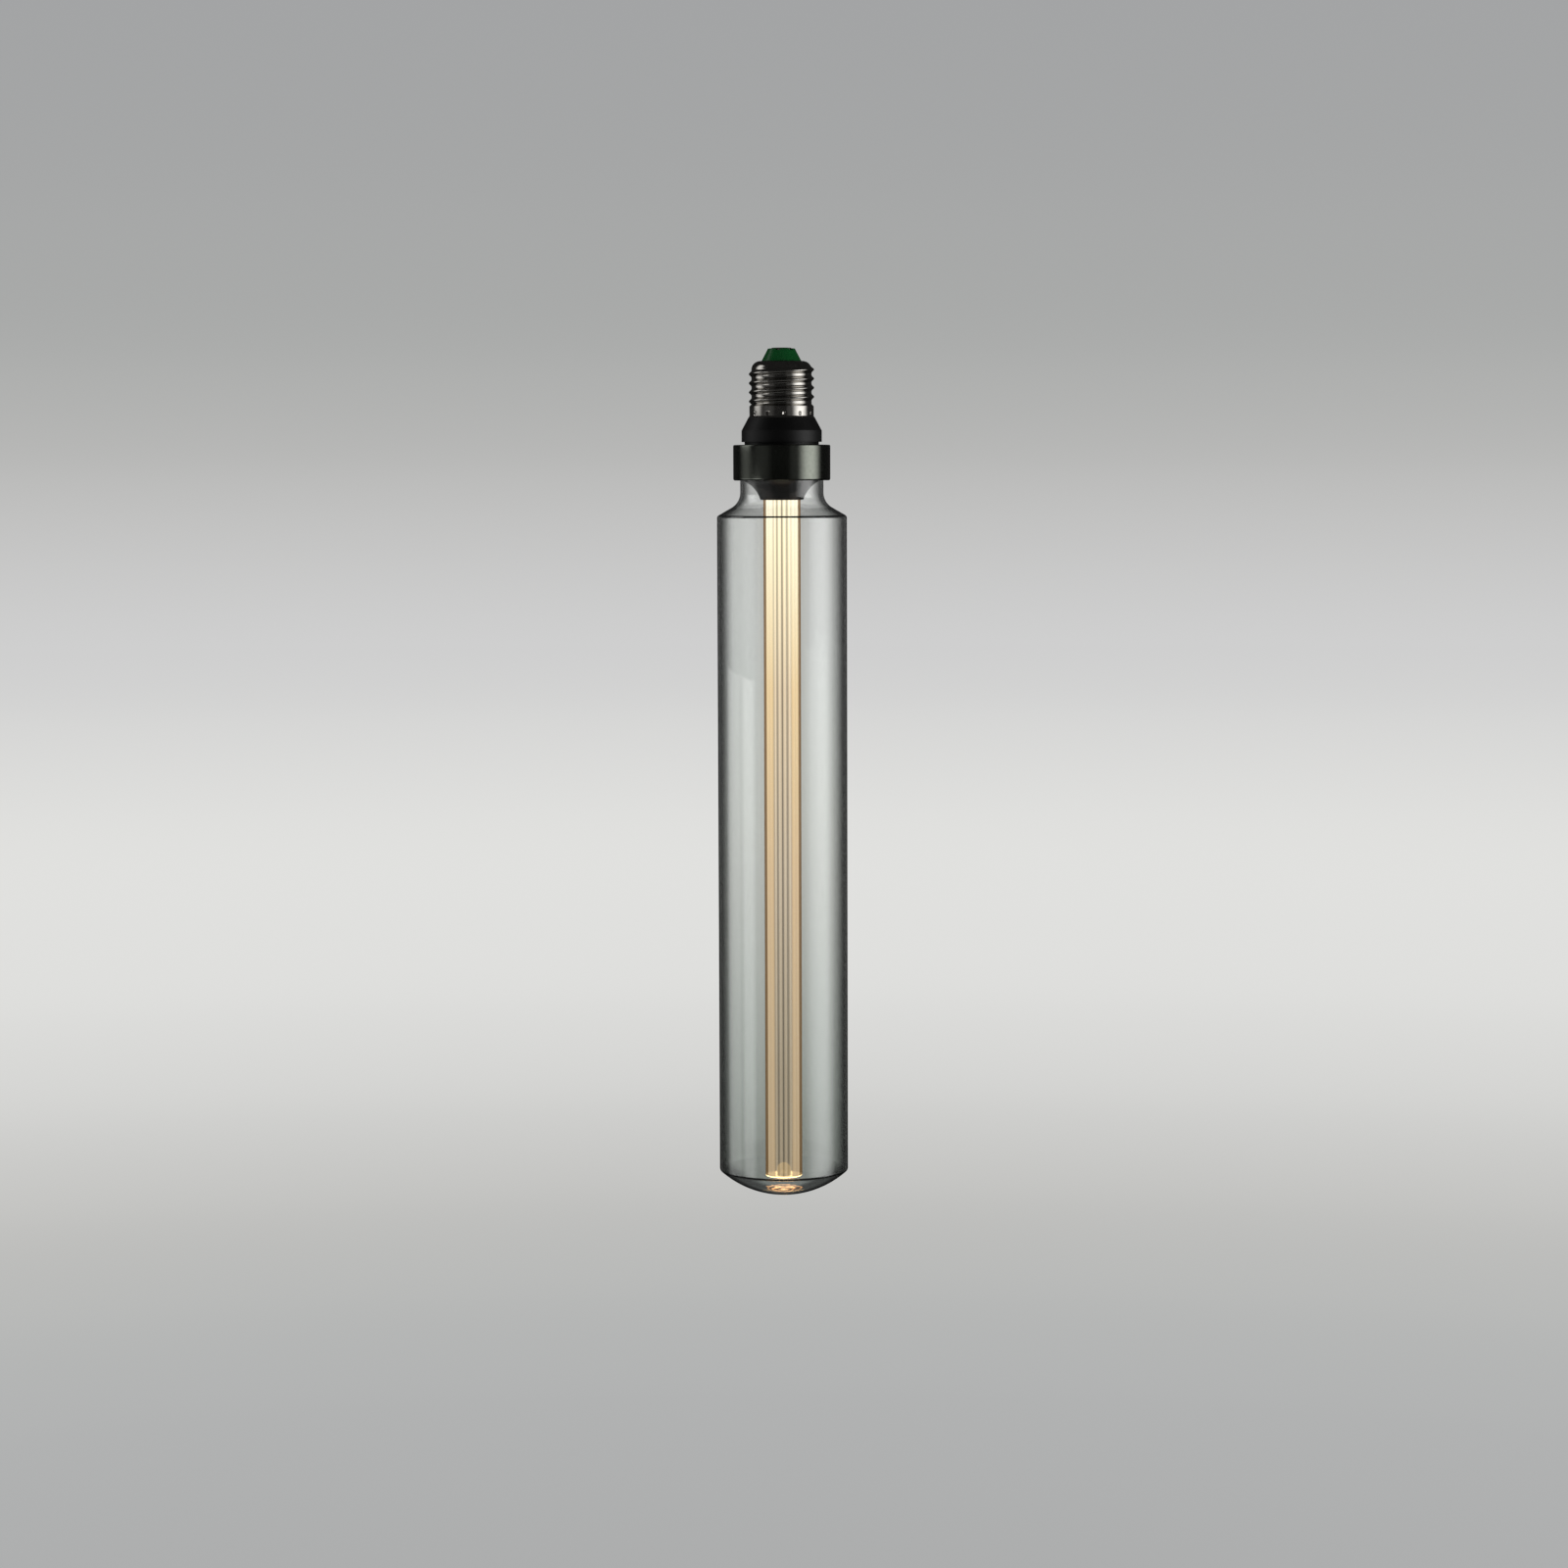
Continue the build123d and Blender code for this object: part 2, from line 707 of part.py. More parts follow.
# Fuse resistor: it stands by the board, with its top lead towards the live wire
with BuildPart() as fuse_resistor:
    with BuildSketch(Plane.XY.offset(resistor_bottom)):
        with Locations(resistor_place):
            Circle(resistor_diameter / 2)
    extrude(amount=resistor_length)
    chamfer(fuse_resistor.edges().filter_by(GeomType.CIRCLE), resistor_diameter / 6)
    with BuildSketch(Plane.XY.offset(resistor_top - lead_bend)):
        with Locations(resistor_place):
            Circle(lead_diameter / 2)
    extrude(amount=lead_drop + lead_bend)
    with BuildLine() as lead:
        FilletPolyline(
            (*resistor_place, resistor_bottom + lead_bend),
            (*resistor_place, resistor_bottom - lead_drop),
            (resistor_x, board_face, resistor_bottom - lead_drop),
            radius=lead_bend,
        )
    with BuildSketch(Plane((*resistor_place, resistor_bottom + lead_bend), z_dir=(0, 0, -1))):
        Circle(lead_diameter / 2)
    sweep(path=lead.line)
fuse_resistor.part.label = "fuse_resistor"
export_step(fuse_resistor.part, "parts/fuse_resistor.step")


# Film capacitor on the board's other side, its two pins through the board
with BuildPart() as film_capacitor:
    with BuildSketch(Plane.XZ.offset(-part_gap)):
        with Locations((0, (film_top + film_bottom) / 2)):
            RectangleRounded(film_width, film_height, can_crimp)
    extrude(amount=-film_depth)
    with BuildSketch(Plane.XZ.offset(-part_gap)):
        with Locations((0, (film_top + film_bottom) / 2)):
            with GridLocations(film_pins, 0, 2, 1):
                Circle(lead_diameter / 2)
    extrude(amount=board_thickness)
film_capacitor.part.label = "film_capacitor"
export_step(film_capacitor.part, "parts/film_capacitor.step")


# Choke: a flanged bobbin with its winding, on the board's front below the capacitor
choke_top = board_top - choke_drop
choke_bottom = choke_top - choke_height
choke_place = (0, -part_gap - choke_diameter / 2)
with BuildPart() as choke:
    with BuildSketch(Plane.XY.offset(choke_bottom)):
        with Locations(choke_place):
            Circle(choke_core_diameter / 2)
    extrude(amount=choke_height)
    for height in (choke_bottom, choke_top - choke_flange):
        with BuildSketch(Plane.XY.offset(height)):
            with Locations(choke_place):
                Circle(choke_diameter / 2)
        extrude(amount=choke_flange)
choke.part.label = "choke"
export_step(choke.part, "parts/choke.step")


def flat_package(width, depth, height, middle, legs):
    """A moulded chip on the board's back, with a row of flat legs above and below it."""
    with BuildPart() as package:
        with BuildSketch(Plane.XZ.offset(-part_gap)):
            with Locations((0, middle)):
                Rectangle(width, height)
        extrude(amount=-depth)
        with BuildSketch(Plane.XZ.offset(-part_gap)):
            with Locations((0, middle)):
                with GridLocations(leg_pitch, height + leg_reach, legs, 2):
                    Rectangle(leg_width, leg_reach + leg_thickness)
        extrude(amount=-leg_thickness)
    return package.part


with BuildPart() as bridge_rectifier:
    rectifier_middle = board_top - rectifier_drop
    add(flat_package(rectifier_width, rectifier_depth, rectifier_height, rectifier_middle, rectifier_legs))
bridge_rectifier.part.label = "bridge_rectifier"
export_step(bridge_rectifier.part, "parts/bridge_rectifier.step")

with BuildPart() as driver_chip:
    add(flat_package(chip_height, chip_depth, chip_width, board_top - chip_drop, chip_legs))
driver_chip.part.label = "driver_chip"
export_step(driver_chip.part, "parts/driver_chip.step")


# Wires: each is straight runs joined by tangent arcs, and its volume is printed against its length
def wire_points(name, points, bend, diameter, part):
    """Prints a wire's bend radius and how its volume compares with its section times its length."""
    length = FilletPolyline(*points, radius=bend, mode=Mode.PRIVATE).length
    share = part.volume / (math.pi * diameter**2 / 4 * length)
    print(name, "bend radius", bend, "length", round(length, 2), "volume share", round(share, 4))


live_points = (
    (0, 0, contact_end),
    (0, 0, contact_end - wire_bend),
    (*resistor_place, resistor_top + lead_drop + wire_bend),
    (*resistor_place, resistor_top + lead_drop),
)
with BuildPart() as live_wire:
    with BuildLine() as route:
        FilletPolyline(*live_points, radius=wire_bend)
    with BuildSketch(Plane(live_points[0], z_dir=(0, 0, -1))):
        Circle(wire_diameter / 2)
    sweep(path=route.line)
live_wire.part.label = "live_wire"
export_step(live_wire.part, "parts/live_wire.step")
wire_points("live_wire", live_points, wire_bend, wire_diameter, live_wire.part)

neutral_in = bore_radius - rib_depth - lead_diameter - wire_fit
neutral_out = spigot_radius - neutral_groove + lead_diameter / 2 + fit
neutral_points = (
    (-neutral_in, neutral_y, spigot_top - board_top_gap - lead_drop),
    (-neutral_in, neutral_y, spigot_top + neutral_rise),
    (-neutral_out, neutral_y, spigot_top + neutral_rise),
    (-neutral_out, neutral_y, spigot_top - neutral_length),
)
with BuildPart() as neutral_wire:
    with BuildLine() as route:
        FilletPolyline(*neutral_points, radius=lead_bend)
    with BuildSketch(Plane(neutral_points[0])):
        Circle(lead_diameter / 2)
    sweep(path=route.line)
neutral_wire.part.label = "neutral_wire"
export_step(neutral_wire.part, "parts/neutral_wire.step")
wire_points("neutral_wire", neutral_points, lead_bend, lead_diameter, neutral_wire.part)

lead_y = -part_gap - wire_diameter / 2
for side, name in ((1, "led_lead_positive"), (-1, "led_lead_negative")):
    lead_points = (
        (side * led_lead_offset, lead_y, board_bottom + led_lead_start),
        (side * led_lead_offset, lead_y, board_bottom - lead_bend),
        (side * led_lead_spread / 2, 0, plug_bottom + lead_bend),
        (side * led_lead_spread / 2, 0, led_board_face),
    )
    with BuildPart() as led_lead:
        with BuildLine() as route:
            FilletPolyline(*lead_points, radius=wire_bend)
        with BuildSketch(Plane(lead_points[0], z_dir=(0, 0, -1))):
            Circle(wire_diameter / 2)
        sweep(path=route.line)
    led_lead.part.label = name
    export_step(led_lead.part, f"parts/{name}.step")
    wire_points(name, lead_points, wire_bend, wire_diameter, led_lead.part)
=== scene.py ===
import math

import bmesh
import bpy
from mathutils import Matrix, Vector


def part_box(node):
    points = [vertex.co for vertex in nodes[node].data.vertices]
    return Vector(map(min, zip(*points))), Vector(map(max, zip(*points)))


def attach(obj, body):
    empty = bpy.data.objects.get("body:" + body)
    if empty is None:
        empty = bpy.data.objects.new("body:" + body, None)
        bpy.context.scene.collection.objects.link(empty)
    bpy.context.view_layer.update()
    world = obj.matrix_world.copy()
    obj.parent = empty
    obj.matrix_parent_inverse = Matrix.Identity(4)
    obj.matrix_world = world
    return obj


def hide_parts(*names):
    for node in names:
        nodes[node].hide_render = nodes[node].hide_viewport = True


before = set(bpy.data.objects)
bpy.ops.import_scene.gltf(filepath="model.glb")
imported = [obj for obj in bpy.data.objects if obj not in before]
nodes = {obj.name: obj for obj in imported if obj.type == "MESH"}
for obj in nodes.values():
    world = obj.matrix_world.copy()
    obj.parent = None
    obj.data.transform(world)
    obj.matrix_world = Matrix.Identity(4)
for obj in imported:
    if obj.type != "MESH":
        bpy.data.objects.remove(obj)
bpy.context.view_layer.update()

mm = 0.001
profileGap = 1e-7                    # metres; points of a profile closer than this are one
weldGap = 1e-6                       # metres; the same once the profile is spun
crispAngle = math.radians(35)        # edges that turn more than this stay crisp
scene = bpy.context.scene


# Small helpers for colours, shader nodes and profiles that are spun round the bulb's axis

def linear(hexColour):
    channels = [int(hexColour[i:i + 2], 16) / 255 for i in (0, 2, 4)]
    return [c / 12.92 if c <= 0.04045 else ((c + 0.055) / 1.055) ** 2.4 for c in channels] + [1]


def addNode(tree, kind, inputs=None, stops=None, ease="LINEAR", **settings):
    node = tree.nodes.new("ShaderNode" + kind)
    for name, value in settings.items():
        setattr(node, name, value)
    for name, value in (inputs or {}).items():
        if isinstance(value, bpy.types.Node):
            value = value.outputs[0]
        if isinstance(value, bpy.types.NodeSocket):
            tree.links.new(value, node.inputs[name])
        else:
            node.inputs[name].default_value = value
    if stops:
        node.color_ramp.interpolation = ease
        elements = node.color_ramp.elements
        while len(elements) < len(stops):
            elements.new(0.5)
        for element, (place, colour) in zip(elements, stops):
            element.position = place
            element.color = linear(colour) if isinstance(colour, str) else (colour, colour, colour, 1)
    return node


def newMaterial(name):
    material = bpy.data.materials.new(name)
    material.use_nodes = True
    material.node_tree.nodes.clear()
    return material, material.node_tree


def lineTo(bm, vert, radius, height):
    end = bmesh.ops.extrude_vert_indiv(bm, verts=[vert])["verts"][0]
    end.co = (radius, 0, height)
    return end


def arcTo(bm, vert, radius, height, turn, steps):
    swept = bmesh.ops.spin(
        bm, geom=[vert], cent=(radius, 0, height), axis=(0, -1, 0), angle=turn, steps=steps
    )
    return [v for v in swept["geom_last"] if isinstance(v, bmesh.types.BMVert)][0]


def spinRound(bm, steps):
    bmesh.ops.remove_doubles(bm, verts=bm.verts, dist=profileGap)
    bmesh.ops.spin(
        bm, geom=bm.verts[:] + bm.edges[:], cent=(0, 0, 0), axis=(0, 0, 1),
        angle=2 * math.pi, steps=steps, use_merge=True,
    )
    bmesh.ops.remove_doubles(bm, verts=bm.verts, dist=weldGap)
    bmesh.ops.recalc_face_normals(bm, faces=bm.faces)


def finishPiece(name, bm, material, slotName, *replaced):
    for face in bm.faces:
        face.smooth = True
    mesh = bpy.data.meshes.new(name)
    bm.to_mesh(mesh)
    bm.free()
    mesh.set_sharp_from_angle(angle=crispAngle)
    mesh.materials.append(material)
    piece = bpy.data.objects.new(name, mesh)
    scene.collection.objects.link(piece)
    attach(piece, "root")
    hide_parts(*replaced)
    print("made", name, len(mesh.polygons), "faces")


# Camera: a long lens level with the collar, turned down a little to take in the tube
camera = {
    "distance": 1460 * mm,
    "eyeLevel": -52 * mm,
    "aimLevel": -175.2 * mm,
    "aside": 0.5 * mm,
    "roll": -0.18,       # degrees
    "lens": 83.2,
    "sensor": 36,
    "nearest": 0.05,
    "farthest": 60,
}


def makeCamera(v):
    data = bpy.data.cameras.new("camera")
    data.lens = v["lens"]
    data.sensor_width = v["sensor"]
    data.clip_start = v["nearest"]
    data.clip_end = v["farthest"]
    obj = bpy.data.objects.new("camera", data)
    scene.collection.objects.link(obj)
    place = Vector((v["aside"], -v["distance"], v["eyeLevel"]))
    aim = Vector((v["aside"], 0, v["aimLevel"]))
    turn = (aim - place).to_track_quat("-Z", "Y").to_matrix().to_4x4()
    roll = Matrix.Rotation(math.radians(v["roll"]), 4, "Z")
    obj.matrix_world = Matrix.Translation(place) @ turn @ roll
    scene.camera = obj


makeCamera(camera)
print("camera set")


# Clear glass, blown soda-lime: bends what is behind it, darkens in a thin line where the wall
# turns away from the eye, and carries painted shade low down, where less of the light reaches.
# Warm rings glowing in the dome are a painted glint: they stand for the rod's light, which the dome
# gathers.
clearGlass = {
    "ior": 1.5,
    # painted shade: the tint darkens towards the dome's foot, darkest a little above it
    "upward": (          # tint from the dome's foot to the neck
        (0.0, "dde1de"), (0.03, "d8dcd9"), (0.042, "cfd3d0"), (0.14, "d6dad7"), (0.42, "e4e6e4"),
        (0.69, "f1f3f1"), (1.0, "fafbfa"),
    ),
    "turnedAway": (      # share of that tint that is left as the wall turns from the eye
        (0.0, 1.0), (0.3, 0.97), (0.42, 0.8), (0.54, 0.42), (0.66, 0.16), (0.8, 0.05), (1.0, 0.03),
    ),
    # painted glints: warm rings of glow in the dome's glass
    "glintColour": "ffb673",
    "glintStrength": 2.4,
    "ringReach": 7.5 * mm,
    "ringWobble": 4.0 * mm,
    "wobbleSize": 3.0 * mm,
    "rings": (
        (0.0, 1.0), (0.22, 0.6), (0.34, 0.05), (0.48, 0.05), (0.58, 1.0), (0.7, 0.1), (0.82, 0.0),
        (0.91, 0.6), (1.0, 0.0),
    ),
    "longestPath": 3.5,  # light that bounces in the wall more often than this leaves it straight
}


def makeClearGlass(v):
    material, tree = newMaterial("clear_soda_glass")
    low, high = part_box("glass_envelope")
    point = addNode(tree, "TexCoord").outputs["Object"]
    split = addNode(tree, "SeparateXYZ", {0: point})
    height = addNode(
        tree, "MapRange", {"Value": split.outputs[2], "From Min": low.z, "From Max": high.z}
    )
    # painted shade: darker glass low down, where less of the light reaches
    upward = addNode(tree, "ValToRGB", {"Fac": height}, stops=v["upward"])
    flat = addNode(tree, "VectorMath", {0: point, 1: (1, 1, 0)}, operation="MULTIPLY")
    outward = addNode(tree, "VectorMath", {0: flat}, operation="NORMALIZE")
    facing = addNode(tree, "LayerWeight", {"Blend": 0.5, "Normal": outward}).outputs["Facing"]
    away = addNode(tree, "ValToRGB", {"Fac": facing}, stops=v["turnedAway"], ease="CARDINAL")
    tintAndShade = addNode(
        tree, "Mix", {0: 1.0, 6: away, 7: upward}, data_type="RGBA", blend_type="MULTIPLY"
    ).outputs[2]
    # painted glints: the glass glows in warm wobbly rings near the axis, for the rod's light that the
    # dome gathers
    reach = addNode(tree, "VectorMath", {0: flat}, operation="LENGTH").outputs["Value"]
    uneven = addNode(tree, "TexNoise", {"Vector": flat, "Scale": 1 / v["wobbleSize"], "Detail": 1.0})
    wavy = addNode(tree, "Math", {0: uneven, 1: v["ringWobble"], 2: reach}, operation="MULTIPLY_ADD")
    middle = v["ringWobble"] / 2  # the noise adds this much on average
    across = addNode(
        tree, "MapRange", {"Value": wavy, "From Min": middle, "From Max": middle + v["ringReach"]}
    )
    rings = addNode(tree, "ValToRGB", {"Fac": across}, stops=v["rings"])
    glow = addNode(tree, "Math", {0: rings, 1: v["glintStrength"]}, operation="MULTIPLY")
    wall = addNode(
        tree, "BsdfPrincipled",
        {
            "Base Color": tintAndShade, "Transmission Weight": 1.0, "Roughness": 0.0, "IOR": v["ior"],
            "Emission Color": linear(v["glintColour"]), "Emission Strength": glow,
        },
    )
    clear = addNode(tree, "BsdfTransparent", {"Color": tintAndShade})
    path = addNode(tree, "LightPath")
    trapped = addNode(
        tree, "Math", {0: path.outputs["Ray Depth"], 1: v["longestPath"]}, operation="GREATER_THAN"
    )
    straight = addNode(
        tree, "Math", {0: path.outputs["Is Shadow Ray"], 1: trapped}, operation="MAXIMUM"
    )
    mixed = addNode(tree, "MixShader", {0: straight, 1: wall, 2: clear})
    addNode(tree, "OutputMaterial", {"Surface": mixed})
    return material


# Glass envelope, with the wall's true thickness
glass = {
    "wall": 1.0 * mm,
    "neckRadius": 16.7 * mm,
    "neckLength": 15.4 * mm,
    "flareRadius": 7.0 * mm,
    "slopeAngle": 60,
    "shoulderRadius": 1.4 * mm,
    "domeRise": 10.2 * mm,
    "domeCorner": 1.3 * mm,
    "flareSteps": 14,
    "shoulderSteps": 12,
    "cornerSteps": 10,
    "domeSteps": 28,
    "steps": 192,
}


def drawGlassWall(bm, v, inset, low, high):
    slope = math.radians(v["slopeAngle"])
    lean = 1 - math.cos(slope)
    neck = v["neckRadius"] - inset
    side = high.x - inset
    flare = v["flareRadius"] + inset
    rounding = v["shoulderRadius"] - inset
    straightEnd = high.z - v["neckLength"]
    run = high.x - v["neckRadius"] - (v["flareRadius"] + v["shoulderRadius"]) * lean
    drop = (v["flareRadius"] + v["shoulderRadius"]) * math.sin(slope) + run / math.tan(slope)
    tubeTop = straightEnd - drop
    ball = (high.x ** 2 + v["domeRise"] ** 2) / (2 * v["domeRise"])
    middle = low.z + ball
    ball -= inset
    corner = v["domeCorner"] - inset
    reach = side - corner
    cornerDrop = math.sqrt((ball - corner) ** 2 - reach ** 2)
    swing = math.atan2(cornerDrop, reach)
    vert = bm.verts.new((neck, 0, high.z))
    vert = lineTo(bm, vert, neck, straightEnd)
    vert = arcTo(bm, vert, neck + flare, straightEnd, slope, v["flareSteps"])
    vert = lineTo(bm, vert, side - rounding * lean, tubeTop + rounding * math.sin(slope))
    vert = arcTo(bm, vert, side - rounding, tubeTop, -slope, v["shoulderSteps"])
    vert = lineTo(bm, vert, side, middle - cornerDrop)
    vert = arcTo(bm, vert, reach, middle - cornerDrop, -swing, v["cornerSteps"])
    arcTo(bm, vert, 0, middle, -(math.pi / 2 - swing), v["domeSteps"])


def makeGlass(v, material):
    low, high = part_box("glass_envelope")
    bm = bmesh.new()
    drawGlassWall(bm, v, 0.0, low, high)
    drawGlassWall(bm, v, v["wall"], low, high)
    rim = [w for w in bm.verts if abs(w.co.z - high.z) < profileGap]
    bm.edges.new(rim)
    spinRound(bm, v["steps"])
    finishPiece("glass_tube", bm, material, "clear_glass", "glass_envelope")


makeGlass(glass, makeClearGlass(clearGlass))


# Lit acrylic, a cast rod: warm light runs down inside it and spills out along its flutes, as bright
# bands with fine lines between them, dark brown where the rod turns away, and clearer low down.
# Its foot glows, and so does the recess in it.
litAcrylic = {
    "ior": 1.49,
    "rough": 0.12,
    "body": "30291f",
    "bands": (
        (0.0, "ccaf8b"), (0.14, "ccaf8b"), (0.415, "d4b48b"), (0.69, "e0c190"), (0.9, "f5eac8"),
        (1.0, "fff6e4"),
    ),
    "middle": (          # down the middle, where the fine lines are
        (0.0, "a5937c"), (0.14, "a3927c"), (0.415, "b9a892"), (0.69, "ccb79b"), (0.9, "efdfbb"),
        (1.0, "f8eccf"),
    ),
    "middleEdge": (0.1, 0.16),
    "middleShare": (1.0, 0.15),
    "edge": "664823",
    "across": ((0.0, 1.0), (0.49, 1.0), (0.55, 0.1), (0.7, 0.0), (0.88, 0.0), (1.0, 0.3)),
    "solid": ((0.0, 0.7), (0.5, 0.82), (0.9, 0.97)),
    "strength": 1.35,
    "lines": ((0.2, 0.35), (0.45, 0.8), (0.7, 1.25)),
    "lineWidth": 0.5 * mm,
    "fluteShare": -0.2,
    "footColour": "ffd495",
    "footGlow": 5.0,
    "footHeight": 0.5 * mm,
    "recessGlow": 1.0,
    "recessEdge": (1.06, 1.02),  # times the recess's radius
}

guide = {
    "headHeight": 2.0 * mm,
    "radius": 7.5 * mm,
    "flutes": 24,
    "fluteDepth": 0.25 * mm,
    "endEdge": 0.4 * mm,
    "recessRadius": 2.8 * mm,
    "recessDepth": 5.2 * mm,
    "recessSteps": 10,
    "stepsPerFlute": 10,
    "fluteSharpness": 1.5,
    "wallBand": 1e-5,    # metres; points this near the radius are the rod's side
}


def makeLitAcrylic(v, rod):
    material, tree = newMaterial("lit_cast_acrylic")
    low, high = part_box("light_guide")
    point = addNode(tree, "TexCoord").outputs["Object"]
    x, y, z = addNode(tree, "SeparateXYZ", {0: point}).outputs
    height = addNode(tree, "MapRange", {"Value": z, "From Min": low.z, "From Max": high.z})
    flat = addNode(tree, "VectorMath", {0: point, 1: (1, 1, 0)}, operation="MULTIPLY")
    outward = addNode(tree, "VectorMath", {0: flat}, operation="NORMALIZE")
    facing = addNode(tree, "LayerWeight", {"Blend": 0.5, "Normal": outward}).outputs["Facing"]
    middle = addNode(
        tree, "MapRange",
        {
            "Value": facing, "From Min": v["middleEdge"][0], "From Max": v["middleEdge"][1],
            "To Min": v["middleShare"][0], "To Max": v["middleShare"][1],
        },
    )
    angle = addNode(tree, "Math", {0: y, 1: x}, operation="ARCTAN2")
    turns = addNode(tree, "Math", {0: angle, 1: rod["flutes"]}, operation="MULTIPLY")
    flute = addNode(tree, "Math", {0: turns}, operation="COSINE")
    fine = addNode(
        tree, "TexNoise", {"Vector": flat, "Scale": 1 / v["lineWidth"], "Detail": 2.0, "Roughness": 0.6}
    )
    uneven = addNode(tree, "Math", {0: flute, 1: v["fluteShare"], 2: fine}, operation="MULTIPLY_ADD")
    lines = addNode(tree, "ValToRGB", {"Fac": uneven}, stops=v["lines"])
    bands = addNode(tree, "ValToRGB", {"Fac": height}, stops=v["bands"])
    centre = addNode(tree, "ValToRGB", {"Fac": height}, stops=v["middle"])
    colour = addNode(tree, "Mix", {0: middle, 6: bands, 7: centre}, data_type="RGBA").outputs[2]
    lined = addNode(
        tree, "Mix", {0: middle, 6: colour, 7: lines}, data_type="RGBA", blend_type="MULTIPLY"
    ).outputs[2]
    across = addNode(tree, "ValToRGB", {"Fac": facing}, stops=v["across"])
    warm = addNode(
        tree, "Mix", {0: across, 6: linear(v["edge"]), 7: lined}, data_type="RGBA"
    ).outputs[2]
    atFoot = addNode(
        tree, "MapRange",
        {"Value": z, "From Min": low.z + v["footHeight"], "From Max": low.z + v["footHeight"] / 2},
    )
    reach = addNode(tree, "VectorMath", {0: flat}, operation="LENGTH").outputs["Value"]
    recessOut, recessIn = [rod["recessRadius"] * edge for edge in v["recessEdge"]]
    inRecess = addNode(
        tree, "MapRange", {"Value": reach, "From Min": recessOut, "From Max": recessIn}
    )
    footGlow = [c * v["footGlow"] for c in linear(v["footColour"])]
    recessGlow = [c * v["recessGlow"] for c in linear(v["footColour"])]
    hot = addNode(
        tree, "Mix", {0: inRecess, 6: footGlow, 7: recessGlow}, data_type="RGBA"
    ).outputs[2]
    hotPlace = addNode(tree, "Math", {0: atFoot, 1: inRecess}, operation="MAXIMUM")
    glow = addNode(tree, "Mix", {0: hotPlace, 6: warm, 7: hot}, data_type="RGBA").outputs[2]
    solid = addNode(tree, "ValToRGB", {"Fac": height}, stops=v["solid"])
    alpha = addNode(tree, "Mix", {0: middle, 2: 1.0, 3: solid}, data_type="FLOAT").outputs[0]
    shader = addNode(
        tree, "BsdfPrincipled",
        {
            "Base Color": linear(v["body"]), "Roughness": v["rough"], "IOR": v["ior"], "Alpha": alpha,
            "Emission Color": glow, "Emission Strength": v["strength"],
        },
    )
    addNode(tree, "OutputMaterial", {"Surface": shader})
    return material


def makeGuide(v, material):
    low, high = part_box("light_guide")
    shelf = high.z - v["headHeight"]
    top = low.z + v["recessDepth"] - v["recessRadius"]
    bm = bmesh.new()
    vert = bm.verts.new((0, 0, high.z))
    vert = lineTo(bm, vert, high.x, high.z)
    vert = lineTo(bm, vert, high.x, shelf)
    vert = lineTo(bm, vert, v["radius"], shelf)
    vert = lineTo(bm, vert, v["radius"], low.z + v["endEdge"])
    vert = lineTo(bm, vert, v["radius"] - v["endEdge"], low.z)
    vert = lineTo(bm, vert, v["recessRadius"], low.z)
    vert = lineTo(bm, vert, v["recessRadius"], top)
    arcTo(bm, vert, 0, top, math.pi / 2, v["recessSteps"])
    spinRound(bm, v["flutes"] * v["stepsPerFlute"])
    for w in bm.verts:
        reach = w.co.xy.length
        if w.co.z < shelf + weldGap and abs(reach - v["radius"]) < v["wallBand"]:
            angle = math.atan2(w.co.y, w.co.x)
            wave = 0.5 + 0.5 * math.cos(v["flutes"] * angle)
            w.co.xy *= (reach - v["fluteDepth"] * wave ** v["fluteSharpness"]) / reach
    finishPiece("light_rod", bm, material, "lit_acrylic", "light_guide")


makeGuide(guide, makeLitAcrylic(litAcrylic, guide))


# Finishes. Each is mottled by its own grain, which also varies the gloss and roughens the surface.
# Optional keys add what one finish has: turned rings, a woven cloth, coloured bands, wire turns.
grainSpan = (0.3, 0.7)               # nearly all of the noise lies between these
bumpHeight = 0.1                     # of the grain

